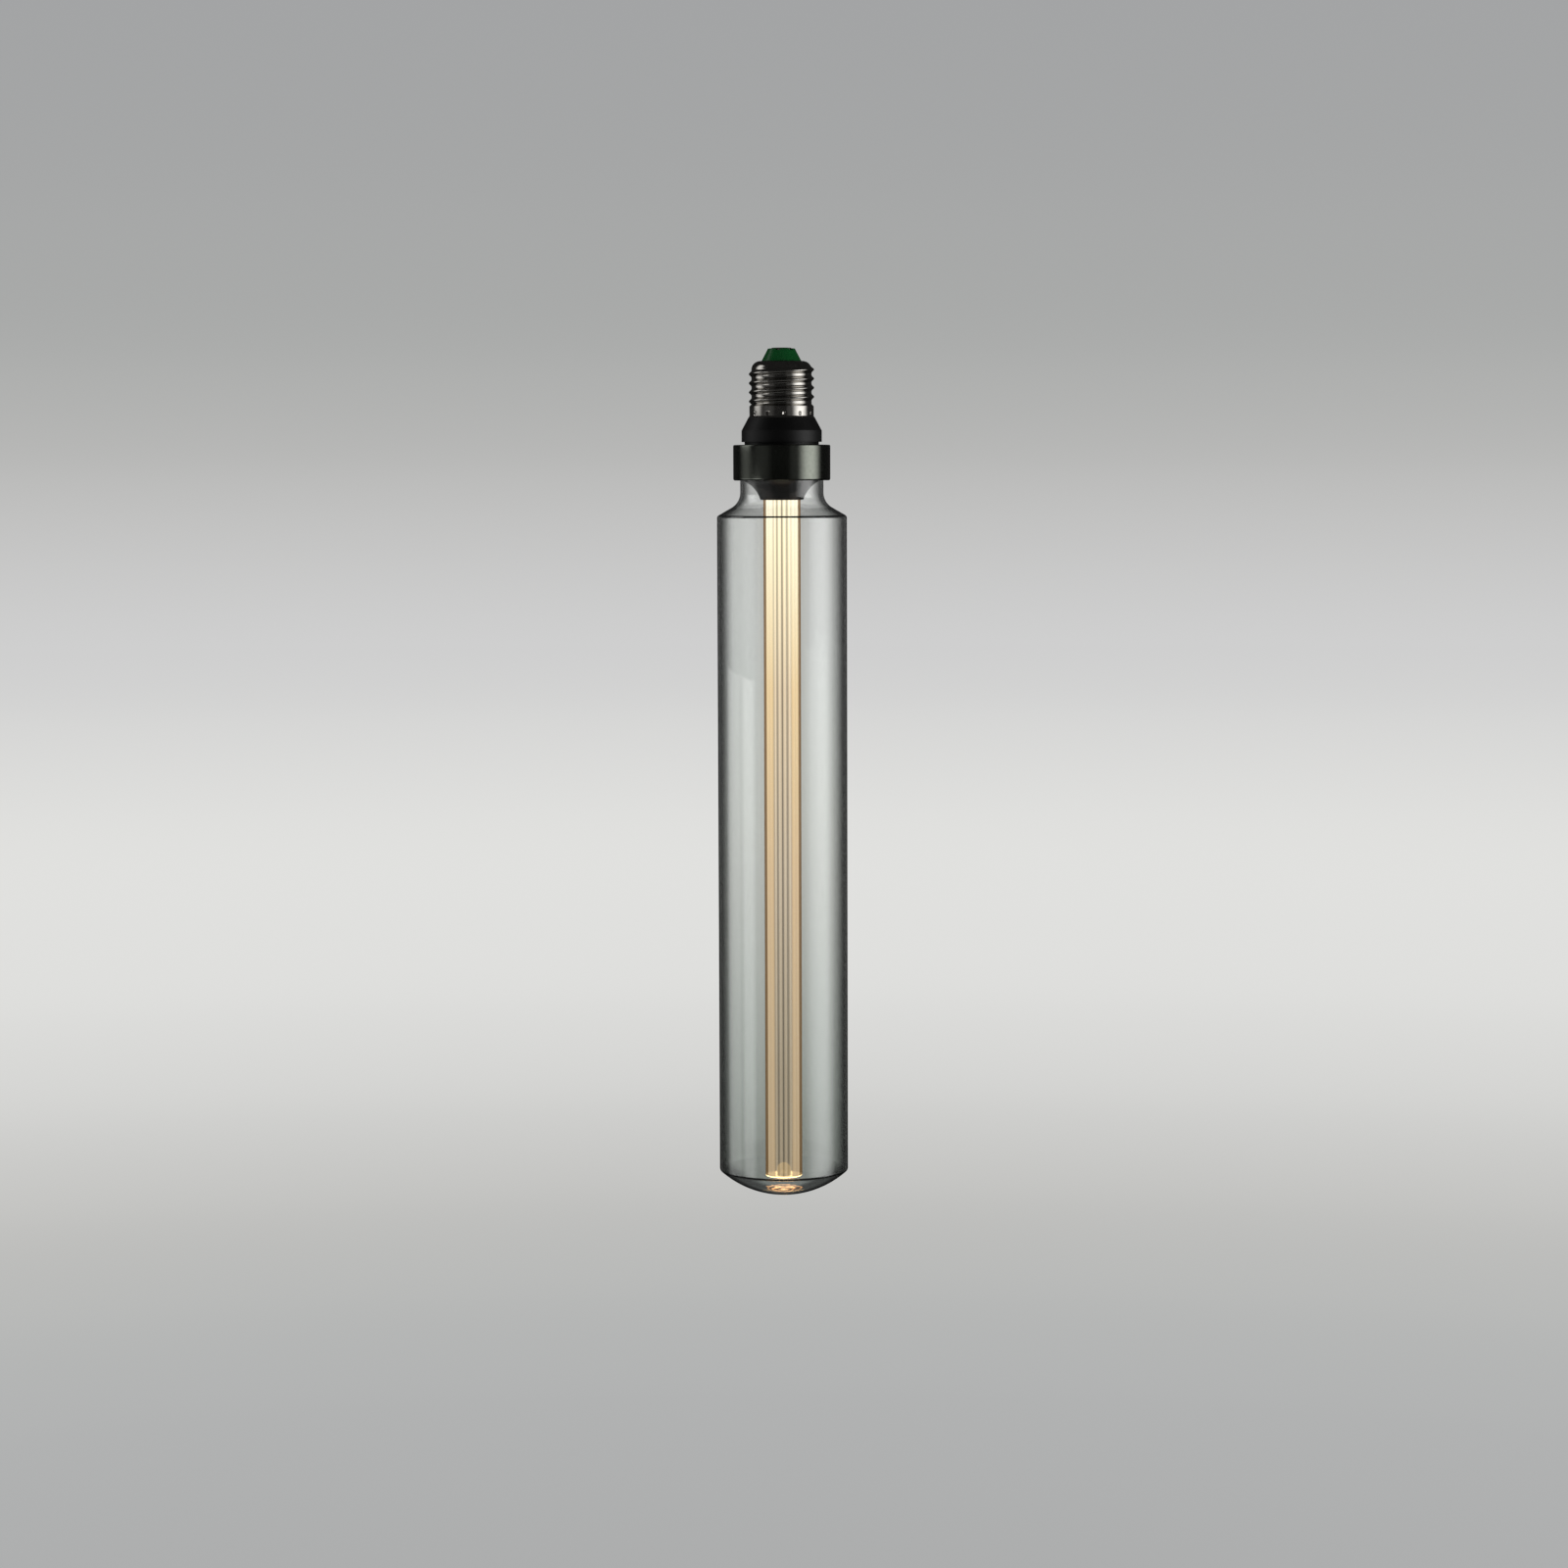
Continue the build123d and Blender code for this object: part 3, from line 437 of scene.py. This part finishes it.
finishes = {
    # dark nickel over brass: mirror bright where it faces a lamp, near black elsewhere
    "dark_nickel_plate": {
        "colour": "a29f9a", "light": "aeaba5", "rough": (0.1, 0.16), "metallic": 1.0,
        "grain": 2.0 * mm, "bump": 0.005,
    },
    # turned steel, blacked and waxed: a soft upright glow down each side
    "black_satin_metal": {
        "colour": "62655e", "light": "6a6d66", "rough": (0.13, 0.16), "metallic": 1.0,
        "grain": 1.2 * mm, "turned": 0.3 * mm, "bump": 0.01,
    },
    # glass-filled plastic with a fine spark-eroded texture: almost no shine
    "black_moulded_plastic": {
        "colour": "040404", "light": "080808", "rough": (0.42, 0.52), "grain": 0.4 * mm, "bump": 0.15,
        "ior": 1.35,
    },
    # aluminium, anodised black: deep black, with a soft paler side towards the lamps
    "black_anodised_aluminium": {
        "colour": "191716", "light": "1f1c1a", "rough": (0.2, 0.26), "metallic": 1.0,
        "grain": 0.6 * mm, "bump": 0.05,
    },
    # moulded plastic, bottle green: half gloss, darker where it turns from the light
    "green_moulding": {
        "colour": "043f19", "light": "05461c", "rough": (0.22, 0.3), "grain": 0.8 * mm, "bump": 0.05,
    },
    # tinned brass, a little worn where a holder's spring rubs it
    "tinned_brass_contact": {
        "colour": "b0ada5", "light": "c4c1b9", "rough": (0.2, 0.34), "metallic": 1.0,
        "grain": 0.9 * mm, "bump": 0.1,
    },
    # lamp cement: chalky and sandy
    "lamp_cement": {
        "colour": "b5aa97", "light": "d2c9b8", "rough": (0.85, 0.95), "grain": 0.5 * mm, "bump": 0.5,
    },
    # bare aluminium from the lathe: fine bright rings
    "turned_aluminium": {
        "colour": "bdbfc1", "light": "d0d2d4", "rough": (0.26, 0.36), "metallic": 1.0,
        "grain": 1.0 * mm, "turned": 0.25 * mm, "bump": 0.2,
    },
    # zinc-plated steel: slightly yellow and blotchy
    "zinc_plated_steel": {
        "colour": "b3b09f", "light": "c9c8bf", "rough": (0.25, 0.4), "metallic": 1.0,
        "grain": 0.6 * mm, "bump": 0.1,
    },
    # white solder mask on an aluminium board: bright and smooth with a faint orange peel
    "white_solder_mask": {
        "colour": "e2e3df", "light": "ededea", "rough": (0.3, 0.4), "grain": 0.7 * mm, "bump": 0.08,
    },
    # phosphor in silicone: egg yellow, glowing warm white
    "glowing_phosphor": {
        "colour": "e0b545", "light": "f0ca62", "rough": (0.35, 0.5), "grain": 0.25 * mm, "bump": 0.15,
        "glow": ("ffdca6", 3.0),
    },
    # glass cloth and resin under green solder mask: the weave shows as faint squares
    "green_solder_mask": {
        "colour": "0d4a2b", "light": "126038", "rough": (0.25, 0.35), "grain": 0.8 * mm,
        "weave": 0.8 * mm, "bump": 0.12,
    },
    # shrunk vinyl sleeve, black with a grey stripe for the negative lead
    "capacitor_sleeve": {
        "colour": "e9e9e9", "light": "ffffff", "rough": (0.22, 0.3), "grain": 1.5 * mm, "bump": 0.05,
        "bands": {
            "node": "smoothing_capacitor", "axis": 0,
            "stops": ((0.0, "17181b"), (0.38, "9b9da0"), (0.62, "17181b")),
        },
    },
    # yellow moulded case, slightly sunk where the resin cooled
    "film_case": {
        "colour": "b98f1e", "light": "c99d2a", "rough": (0.3, 0.38), "grain": 2.5 * mm, "bump": 0.3,
    },
    # ferrite bobbin, dark and gritty, with enamelled copper wire between its flanges
    "ferrite_and_copper": {
        "colour": "d8d8d8", "light": "ffffff", "rough": (0.3, 0.45), "grain": 0.3 * mm, "bump": 0.4,
        "wire": 0.4 * mm,
        "bands": {
            "node": "choke", "axis": 2,
            "stops": ((0.0, "2b2a29"), (0.13, "a9552a"), (0.87, "2b2a29")),
        },
    },
    # black epoxy with tinned legs above and below
    "chip_epoxy": {
        "colour": "dcdcdc", "light": "ffffff", "rough": (0.38, 0.5), "grain": 0.25 * mm, "bump": 0.25,
        "bands": {
            "node": "bridge_rectifier", "axis": 2,
            "stops": ((0.0, "b9b9b4"), (0.17, "1a1a1b"), (0.83, "b9b9b4")),
        },
    },
    "driver_chip_epoxy": {
        "colour": "dcdcdc", "light": "ffffff", "rough": (0.34, 0.44), "grain": 0.2 * mm, "bump": 0.2,
        "bands": {
            "node": "driver_chip", "axis": 2,
            "stops": ((0.0, "b9b9b4"), (0.17, "161617"), (0.83, "b9b9b4")),
        },
    },
    # cement-coated resistor with four plain rings that give its value
    "resistor_coat": {
        "colour": "e6e6e6", "light": "ffffff", "rough": (0.4, 0.5), "grain": 0.4 * mm, "bump": 0.2,
        "bands": {
            "node": "fuse_resistor", "axis": 2,
            "stops": (
                (0.0, "c4c4bf"), (0.16, "7f9c98"), (0.3, "6a3b1e"), (0.36, "7f9c98"), (0.44, "161616"),
                (0.5, "7f9c98"), (0.58, "161616"), (0.64, "7f9c98"), (0.74, "b48a2c"), (0.8, "7f9c98"),
                (0.88, "c4c4bf"),
            ),
        },
    },
    # silicone insulation: dull, with a soft bloom
    "brown_insulation": {
        "colour": "4a2618", "light": "57301f", "rough": (0.45, 0.55), "grain": 0.5 * mm, "bump": 0.1,
    },
    "red_insulation": {
        "colour": "8d1a17", "light": "a0231e", "rough": (0.42, 0.52), "grain": 0.5 * mm, "bump": 0.1,
    },
    "black_insulation": {
        "colour": "121213", "light": "1b1b1d", "rough": (0.42, 0.52), "grain": 0.5 * mm, "bump": 0.1,
    },
    # tinned copper: pale grey, a little warm where the tin is thin
    "tinned_copper": {
        "colour": "a99a8c", "light": "c8c6c1", "rough": (0.24, 0.36), "metallic": 1.0,
        "grain": 0.5 * mm, "bump": 0.1,
    },
}


def makeFinish(name, v):
    material, tree = newMaterial(name)
    point = addNode(tree, "TexCoord").outputs["Object"]
    grain = addNode(
        tree, "TexNoise", {"Vector": point, "Scale": 1 / v["grain"], "Detail": 4.0, "Roughness": 0.55}
    )
    mottle = ((grainSpan[0], v["colour"]), (grainSpan[1], v["light"]))
    colour = addNode(tree, "ValToRGB", {"Fac": grain}, stops=mottle).outputs[0]
    height = grain
    if "bands" in v:
        low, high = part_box(v["bands"]["node"])
        axis = v["bands"]["axis"]
        split = addNode(tree, "SeparateXYZ", {0: point})
        place = addNode(
            tree, "MapRange",
            {"Value": split.outputs[axis], "From Min": low[axis], "From Max": high[axis]},
        )
        bands = addNode(
            tree, "ValToRGB", {"Fac": place}, stops=v["bands"]["stops"], ease="CONSTANT"
        )
        colour = addNode(
            tree, "Mix", {0: 1.0, 6: colour, 7: bands}, data_type="RGBA", blend_type="MULTIPLY"
        ).outputs[2]
    if "turned" in v:  # tool marks, coarser than real so that they show
        flat = addNode(tree, "VectorMath", {0: point, 1: (1, 1, 0)}, operation="MULTIPLY")
        reach = addNode(tree, "VectorMath", {0: flat}, operation="LENGTH").outputs["Value"]
        split = addNode(tree, "SeparateXYZ", {0: point})
        along = addNode(tree, "Math", {0: reach, 1: split.outputs[2]}, operation="ADD")
        height = addNode(
            tree, "TexNoise", {"W": along, "Scale": 1 / v["turned"], "Detail": 2.0},
            noise_dimensions="1D",
        )
    if "weave" in v or "wire" in v:  # threads of the cloth, or turns of wire one above another
        scale = math.pi / (10 * v.get("weave", v.get("wire")))  # one wave to a thread
        height = addNode(tree, "TexWave", {"Vector": point, "Scale": scale}, bands_direction="Z")
    if "weave" in v:
        crossing = addNode(
            tree, "TexWave", {"Vector": point, "Scale": scale}, bands_direction="X"
        )
        height = addNode(tree, "Math", {0: height, 1: crossing}, operation="MULTIPLY")
        colour = addNode(
            tree, "Mix", {0: height, 6: colour, 7: linear(v["light"])}, data_type="RGBA"
        ).outputs[2]
    rough = addNode(
        tree, "MapRange",
        {
            "Value": grain, "From Min": grainSpan[0], "From Max": grainSpan[1],
            "To Min": v["rough"][0], "To Max": v["rough"][1],
        },
    )
    bump = addNode(
        tree, "Bump",
        {"Strength": v["bump"], "Distance": v["grain"] * bumpHeight, "Height": height},
    )
    shader = addNode(
        tree, "BsdfPrincipled",
        {
            "Base Color": colour, "Roughness": rough, "Metallic": v.get("metallic", 0.0),
            "Normal": bump,
        },
    )
    if "ior" in v:
        shader.inputs["IOR"].default_value = v["ior"]
    if "glow" in v:
        shader.inputs["Emission Color"].default_value = linear(v["glow"][0])
        shader.inputs["Emission Strength"].default_value = v["glow"][1]
    addNode(tree, "OutputMaterial", {"Surface": shader})
    return material


made = {name: makeFinish(name, v) for name, v in finishes.items()}
print("made", len(made), "finishes")


# Screw shell: drawn sheet with its rolled thread, punch marks and lip
shell = {
    "rootRadius": 12.05 * mm,
    "crestRadius": 13.1 * mm,
    "shoulder": 3.4 * mm,
    "threadReach": 0.6,  # how far in over the shoulder the thread may run
    "sheet": 0.35 * mm,
    "holeRadius": 8.1 * mm,
    "pitch": 3.629 * mm,
    "turns": 3.75,
    "topCrest": 2.8 * mm,
    "topTurn": 54,       # degrees
    "fade": 0.1,         # of a turn
    "sharpness": 1.8,
    "skirtRadius": 12.9 * mm,
    "skirtHeight": 4.6 * mm,
    "step": 0.9 * mm,
    "lipHeight": 0.7 * mm,
    "punches": 12,
    "punchTurn": 5,      # degrees
    "punchHeight": 1.7 * mm,
    "punchWidth": 1.1 * mm,
    "punchLength": 1.5 * mm,
    "punchDepth": 0.4 * mm,
    "punchFlat": 0.3,    # half of a punch mark's flat floor, as a share of its size
    "punchEdge": 0.25,   # the slope round it
    "shoulderSteps": 14,
    "rows": 118,
    "skirtRows": 24,
    "steps": 240,
}


def easeStep(t):
    t = min(max(t, 0.0), 1.0)
    return t * t * (3 - 2 * t)


def threadRise(v, angle, fall):
    lead = ((math.radians(v["topTurn"]) - angle) / (2 * math.pi)) % 1.0
    turn = (fall - v["topCrest"]) / v["pitch"]
    nearest = round(turn - lead) + lead
    fade = easeStep(nearest / v["fade"]) * easeStep((v["turns"] - nearest) / v["fade"])
    return fade * (0.5 + 0.5 * math.cos(2 * math.pi * (turn - nearest))) ** v["sharpness"]


def punchSink(v, angle, reach, height):
    pitch = 2 * math.pi / v["punches"]
    aside = ((angle - math.radians(v["punchTurn"])) / pitch + 0.5) % 1.0 - 0.5
    across = abs(aside) * pitch * reach / v["punchWidth"]
    up = abs(height - v["punchHeight"]) / v["punchLength"]
    sink = v["punchDepth"]
    for far in (across, up):
        sink *= 1 - easeStep((far - v["punchFlat"]) / v["punchEdge"])
    return sink


def makeShell(v, material):
    low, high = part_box("screw_shell")
    stepTop = low.z + v["skirtHeight"] + v["step"]
    bm = bmesh.new()
    vert = bm.verts.new((v["holeRadius"], 0, high.z))
    vert = lineTo(bm, vert, v["rootRadius"] - v["shoulder"], high.z)
    vert = arcTo(
        bm, vert, v["rootRadius"] - v["shoulder"], high.z - v["shoulder"], -math.pi / 2,
        v["shoulderSteps"],
    )
    before = set(bm.edges)
    vert = lineTo(bm, vert, v["rootRadius"], stepTop)
    wall = [e for e in bm.edges if e not in before]
    vert = lineTo(bm, vert, v["skirtRadius"], stepTop - v["step"])
    before = set(bm.edges)
    vert = lineTo(bm, vert, v["skirtRadius"], low.z + v["lipHeight"])
    skirt = [e for e in bm.edges if e not in before]
    lineTo(bm, vert, high.x, low.z)
    bmesh.ops.subdivide_edges(bm, edges=wall, cuts=v["rows"])
    bmesh.ops.subdivide_edges(bm, edges=skirt, cuts=v["skirtRows"])
    spinRound(bm, v["steps"])
    threadFrom = v["rootRadius"] - v["threadReach"] * v["shoulder"]
    for w in bm.verts:
        reach = w.co.xy.length
        angle = math.atan2(w.co.y, w.co.x)
        if w.co.z > stepTop and reach > threadFrom:
            rise = (v["crestRadius"] - v["rootRadius"]) * threadRise(v, angle, high.z - w.co.z)
            w.co.xy *= (reach + rise) / reach
        elif w.co.z < stepTop and reach > v["skirtRadius"] - weldGap:
            w.co.xy *= (reach - punchSink(v, angle, reach, w.co.z - low.z)) / reach
    bmesh.ops.solidify(bm, geom=bm.faces[:], thickness=-v["sheet"])
    finishPiece("screw_cap_shell", bm, material, "dark_nickel", "screw_shell")


makeShell(shell, made["dark_nickel_plate"])

# Collar: turned metal with rounded edges
collar = {
    "web": 2.0 * mm,
    "boreRadius": 13.5 * mm,
    "wall": 2.35 * mm,
    "topEdge": 0.5 * mm,
    "footEdge": 0.8 * mm,
    "edgeSteps": 8,
    "steps": 192,
}


def makeCollar(v, material):
    low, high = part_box("collar_ring")
    inner = high.x - v["wall"]
    bm = bmesh.new()
    first = bm.verts.new((v["boreRadius"], 0, high.z))
    vert = lineTo(bm, first, high.x - v["topEdge"], high.z)
    vert = arcTo(
        bm, vert, high.x - v["topEdge"], high.z - v["topEdge"], -math.pi / 2, v["edgeSteps"]
    )
    vert = lineTo(bm, vert, high.x, low.z + v["footEdge"])
    vert = arcTo(
        bm, vert, high.x - v["footEdge"], low.z + v["footEdge"], -math.pi / 2, v["edgeSteps"]
    )
    vert = lineTo(bm, vert, inner, low.z)
    vert = lineTo(bm, vert, inner, high.z - v["web"])
    vert = lineTo(bm, vert, v["boreRadius"], high.z - v["web"])
    bm.edges.new((vert, first))
    spinRound(bm, v["steps"])
    finishPiece("collar_ring_turned", bm, material, "black_satin_metal", "collar_ring")


makeCollar(collar, made["black_satin_metal"])

# Holder: a cup that narrows like a trumpet to the rod
holder = {
    "boreRadius": 7.6 * mm,
    "headRadius": 8.7 * mm,
    "bossRadius": 13.1 * mm,
    "rimHeight": 9.2 * mm,
    "mouthRadius": 8.7 * mm,
    "flareRadius": 11.1 * mm,
    "shelf": 10.8 * mm,
    "pocket": 11.9 * mm,
    "flareSteps": 24,
    "steps": 160,
}


def makeHolder(v, material):
    low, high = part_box("guide_holder")
    start = Vector((high.x, high.z - v["rimHeight"]))
    end = Vector((v["mouthRadius"], low.z))
    half = (end - start).length / 2
    aside = (end - start).normalized().yx * math.sqrt(v["flareRadius"] ** 2 - half ** 2)
    centre = (start + end) / 2 + Vector((-aside.x, aside.y))
    bm = bmesh.new()
    first = bm.verts.new((v["boreRadius"], 0, low.z))
    vert = lineTo(bm, first, v["boreRadius"], low.z + v["shelf"])
    vert = lineTo(bm, vert, v["headRadius"], low.z + v["shelf"])
    vert = lineTo(bm, vert, v["headRadius"], low.z + v["pocket"])
    vert = lineTo(bm, vert, v["bossRadius"], low.z + v["pocket"])
    vert = lineTo(bm, vert, v["bossRadius"], high.z)
    vert = lineTo(bm, vert, high.x, high.z)
    vert = lineTo(bm, vert, start.x, start.y)
    sweep = 2 * math.asin(half / v["flareRadius"])
    vert = arcTo(bm, vert, centre.x, centre.y, sweep, v["flareSteps"])
    bm.edges.new((vert, first))
    spinRound(bm, v["steps"])
    finishPiece("rod_holder", bm, material, "black_anodised", "guide_holder")


makeHolder(holder, made["black_anodised_aluminium"])

# The other nodes keep their meshes and take a finish each
dressed = {
    "cap_housing": "black_moulded_plastic",
    "insulator": "green_moulding",
    "centre_contact": "tinned_brass_contact",
    "cement_ring": "lamp_cement",
    "heat_sink": "turned_aluminium",
    "housing_screws": "zinc_plated_steel",
    "board_screws": "zinc_plated_steel",
    "led_board": "white_solder_mask",
    "led_emitters": "glowing_phosphor",
    "driver_board": "green_solder_mask",
    "smoothing_capacitor": "capacitor_sleeve",
    "film_capacitor": "film_case",
    "choke": "ferrite_and_copper",
    "bridge_rectifier": "chip_epoxy",
    "driver_chip": "driver_chip_epoxy",
    "fuse_resistor": "resistor_coat",
    "live_wire": "brown_insulation",
    "neutral_wire": "tinned_copper",
    "led_lead_positive": "red_insulation",
    "led_lead_negative": "black_insulation",
}

for name, finish in dressed.items():
    slots = nodes[name].material_slots
    for slot in slots:
        slot.material = made[finish]
    if not slots:
        nodes[name].data.materials.append(made[finish])
print("dressed", len(dressed), "nodes")


# Studio: tall soft boxes round the bulb, in degrees round the axis from the camera's side and in
# metres. The right one draws the bright band down the metal, the left ones a weaker one: leftKey
# for the screw shell, leftBand for the collar, leftRim and leftTube for the glass.
lamps = {
    "rightKey": {
        "start": 36, "end": 107, "top": 0.45, "bottom": -0.72, "distance": 1.1,
        "radiance": 2.6, "soft": 0.46,
    },
    "rightFill": {
        "start": 14, "end": 48, "top": 0.45, "bottom": -0.72, "distance": 1.1,
        "radiance": 0.08, "soft": 0.4,
    },
    "leftKey": {
        "start": -73, "end": -118, "top": 0.22, "bottom": -0.019, "distance": 0.3,
        "radiance": 1.4, "soft": 0.4,
    },
    "leftBand": {
        "start": -66, "end": -120, "top": 0.02, "bottom": -0.17, "distance": 1.1,
        "radiance": 0.3, "soft": 0.5,
    },
    "leftRim": {
        "start": -74, "end": -120, "top": -0.17, "bottom": -0.72, "distance": 1.1,
        "radiance": 0.9, "soft": 0.3,
    },
    "leftFill": {
        "start": -20, "end": -80, "top": 0.45, "bottom": -0.72, "distance": 1.1,
        "radiance": 0.08, "soft": 0.4,
    },
    "leftTube": {
        "start": -46, "end": -82, "top": -0.17, "bottom": -0.72, "distance": 1.1,
        "radiance": 1.4, "soft": 0.35,
    },
}


def makeLamp(name, v):
    spread = math.radians(abs(v["end"] - v["start"]))
    turn = math.radians((v["end"] + v["start"]) / 2)
    data = bpy.data.lights.new(name, "AREA")
    data.shape = "RECTANGLE"
    data.size = 2 * v["distance"] * math.tan(spread / 2)
    data.size_y = v["top"] - v["bottom"]
    data.energy = v["radiance"] * math.pi * data.size * data.size_y
    data.use_nodes = True
    tree = data.node_tree
    tree.nodes.clear()
    across = addNode(tree, "SeparateXYZ", {0: addNode(tree, "NewGeometry").outputs["Parametric"]})
    other = addNode(tree, "Math", {0: 1.0, 1: across}, operation="SUBTRACT")
    edge = addNode(tree, "Math", {0: across, 1: other}, operation="MINIMUM")
    soft = addNode(
        tree, "MapRange", {"Value": edge, "From Min": 0.0, "From Max": v["soft"]},
        interpolation_type="SMOOTHSTEP",
    )
    # a lamp shows in mirrors and lights surfaces, but isn't seen straight through the glass
    path = addNode(tree, "LightPath").outputs
    mirrored = addNode(tree, "Math", {0: path["Glossy Depth"], 1: 0.5}, operation="GREATER_THAN")
    outside = addNode(tree, "Math", {0: path["Transmission Depth"], 1: 0.5}, operation="LESS_THAN")
    shown = addNode(tree, "Math", {0: mirrored, 1: outside}, operation="MAXIMUM")
    level = addNode(tree, "Math", {0: soft, 1: shown}, operation="MULTIPLY")
    glow = addNode(tree, "Emission", {"Strength": level})
    addNode(tree, "OutputLight", {"Surface": glow})
    obj = bpy.data.objects.new(name, data)
    scene.collection.objects.link(obj)
    away = v["distance"]
    obj.location = (away * math.sin(turn), -away * math.cos(turn), (v["top"] + v["bottom"]) / 2)
    obj.rotation_euler = (math.pi / 2, 0, turn)
    obj.visible_camera = False


for name, v in lamps.items():
    makeLamp(name, v)
print("set", len(lamps), "soft boxes")

# A round soft light overhead, which gives the floor the bulb's shadow
overhead = {"size": 1.2, "radiance": 1.2, "height": 1.3, "forward": 0.1}


def makeOverhead(v):
    data = bpy.data.lights.new("overhead", "AREA")
    data.shape = "DISK"
    data.size = v["size"]
    data.energy = v["radiance"] * math.pi * math.pi * (v["size"] / 2) ** 2
    obj = bpy.data.objects.new("overhead", data)
    obj.location = (0, -v["forward"], v["height"])
    obj.visible_camera = False
    obj.visible_glossy = False
    scene.collection.objects.link(obj)


makeOverhead(overhead)

# Room: a pale floor and wall that shade into each other, painted with a glow low behind the bulb,
# seen straight and through the glass, and nearly dark in mirrors as in a studio with black flags,
# except for the floor under the bulb
studio = {
    "skySpan": (-0.045, 0.135),      # how far up a ray points
    # painted glow: the sky is lightest at the horizon and darker upward
    "sky": (
        (0.0, "cfcfcf"), (0.25, "bcbcbb"), (0.44, "acadac"), (0.68, "a6a7a7"), (1.0, "a3a4a5"),
    ),
    "floorSpan": (0.071, 1.13),      # one over the metres from the bulb's axis
    # painted glow: the floor is lightest some metres out, darker towards its edge and towards the bulb
    "floor": (
        (0.0, "cfcfcf"), (0.03, "d6d6d5"), (0.08, "dfdfdd"), (0.14, "e0e0de"), (0.2, "dcdcda"),
        (0.28, "d0d0ce"), (0.37, "c1c1bf"), (0.48, "b7b8b7"), (0.62, "b1b2b2"), (1.0, "acadad"),
    ),
    "matte": "b9bbbb",
    "matteReach": (0.2, 0.8),        # the floor takes the bulb's shadow out to here
    "reflected": 0.02,
    "underneath": 0.55,
    "insideGlass": 0.5,
    "ambient": 0.3,
    "floorLevel": -0.78,
    "floorRadius": 14.0,
    "floorSides": 96,
}


def makeWorld(v):
    world = bpy.data.worlds.new("studio")
    scene.world = world
    world.use_nodes = True
    tree = world.node_tree
    tree.nodes.clear()
    direction = addNode(tree, "TexCoord").outputs["Generated"]
    up = addNode(tree, "SeparateXYZ", {0: direction}).outputs[2]
    height = addNode(
        tree, "MapRange", {"Value": up, "From Min": v["skySpan"][0], "From Max": v["skySpan"][1]}
    )
    # painted glow, lightest at the horizon behind the bulb
    shown = addNode(tree, "ValToRGB", {"Fac": height}, stops=v["sky"], ease="CARDINAL")
    path = addNode(tree, "LightPath").outputs
    seen = addNode(
        tree, "Math", {0: path["Is Camera Ray"], 1: path["Is Transmission Ray"]}, operation="MAXIMUM"
    )
    mirrored = addNode(tree, "Math", {0: path["Glossy Depth"], 1: 1.0}, operation="MINIMUM")
    inside = addNode(tree, "Math", {0: path["Transmission Depth"], 1: 1.0}, operation="MINIMUM")
    level = addNode(tree, "Mix", {0: seen, 2: v["ambient"], 3: 1.0}, data_type="FLOAT")
    room = addNode(
        tree, "Mix", {0: inside, 2: v["reflected"], 3: v["insideGlass"]}, data_type="FLOAT"
    )
    strength = addNode(tree, "Mix", {0: mirrored, 2: level, 3: room}, data_type="FLOAT")
    colour = addNode(
        tree, "Mix", {0: seen, 6: (1, 1, 1, 1), 7: shown}, data_type="RGBA"
    ).outputs[2]
    background = addNode(tree, "Background", {"Color": colour, "Strength": strength})
    addNode(tree, "OutputWorld", {"Surface": background})


def makeFloor(v):
    bm = bmesh.new()
    bmesh.ops.create_circle(
        bm, cap_ends=True, segments=v["floorSides"], radius=v["floorRadius"]
    )
    bmesh.ops.translate(bm, verts=bm.verts, vec=(0, 0, v["floorLevel"]))
    mesh = bpy.data.meshes.new("floor")
    bm.to_mesh(mesh)
    bm.free()
    floor = bpy.data.objects.new("floor", mesh)
    scene.collection.objects.link(floor)
    material, tree = newMaterial("pale_floor")
    point = addNode(tree, "TexCoord").outputs["Object"]
    flat = addNode(tree, "VectorMath", {0: point, 1: (1, 1, 0)}, operation="MULTIPLY")
    reach = addNode(tree, "VectorMath", {0: flat}, operation="LENGTH").outputs["Value"]
    closeness = addNode(tree, "Math", {0: 1.0, 1: reach}, operation="DIVIDE")
    near = addNode(
        tree, "MapRange",
        {"Value": closeness, "From Min": v["floorSpan"][0], "From Max": v["floorSpan"][1]},
    )
    # painted glow on the floor, from the floor ramp
    shown = addNode(tree, "ValToRGB", {"Fac": near}, stops=v["floor"], ease="CARDINAL")
    path = addNode(tree, "LightPath").outputs
    mirrored = addNode(tree, "Math", {0: path["Glossy Depth"], 1: 1.0}, operation="MINIMUM")
    inside = addNode(tree, "Math", {0: path["Transmission Depth"], 1: 1.0}, operation="MINIMUM")
    away = addNode(
        tree, "MapRange",
        {"Value": reach, "From Min": v["matteReach"][0], "From Max": v["matteReach"][1]},
        interpolation_type="SMOOTHSTEP",
    )
    mirror = addNode(
        tree, "Mix", {0: away, 2: v["underneath"], 3: v["reflected"]}, data_type="FLOAT"
    )
    room = addNode(tree, "Mix", {0: inside, 2: mirror, 3: v["insideGlass"]}, data_type="FLOAT")
    level = addNode(tree, "Mix", {0: mirrored, 2: 1.0, 3: room}, data_type="FLOAT")
    glow = addNode(tree, "Emission", {"Color": shown, "Strength": level})
    matte = addNode(tree, "BsdfDiffuse", {"Color": linear(v["matte"])})
    notLit = addNode(tree, "Math", {0: inside, 1: mirrored}, operation="MAXIMUM")
    share = addNode(tree, "Math", {0: away, 1: notLit}, operation="MAXIMUM")
    mixed = addNode(tree, "MixShader", {0: share, 1: matte, 2: glow})
    addNode(tree, "OutputMaterial", {"Surface": mixed})
    mesh.materials.append(material)


makeWorld(studio)
makeFloor(studio)
scene.view_settings.view_transform = "Standard"
print("studio lit")
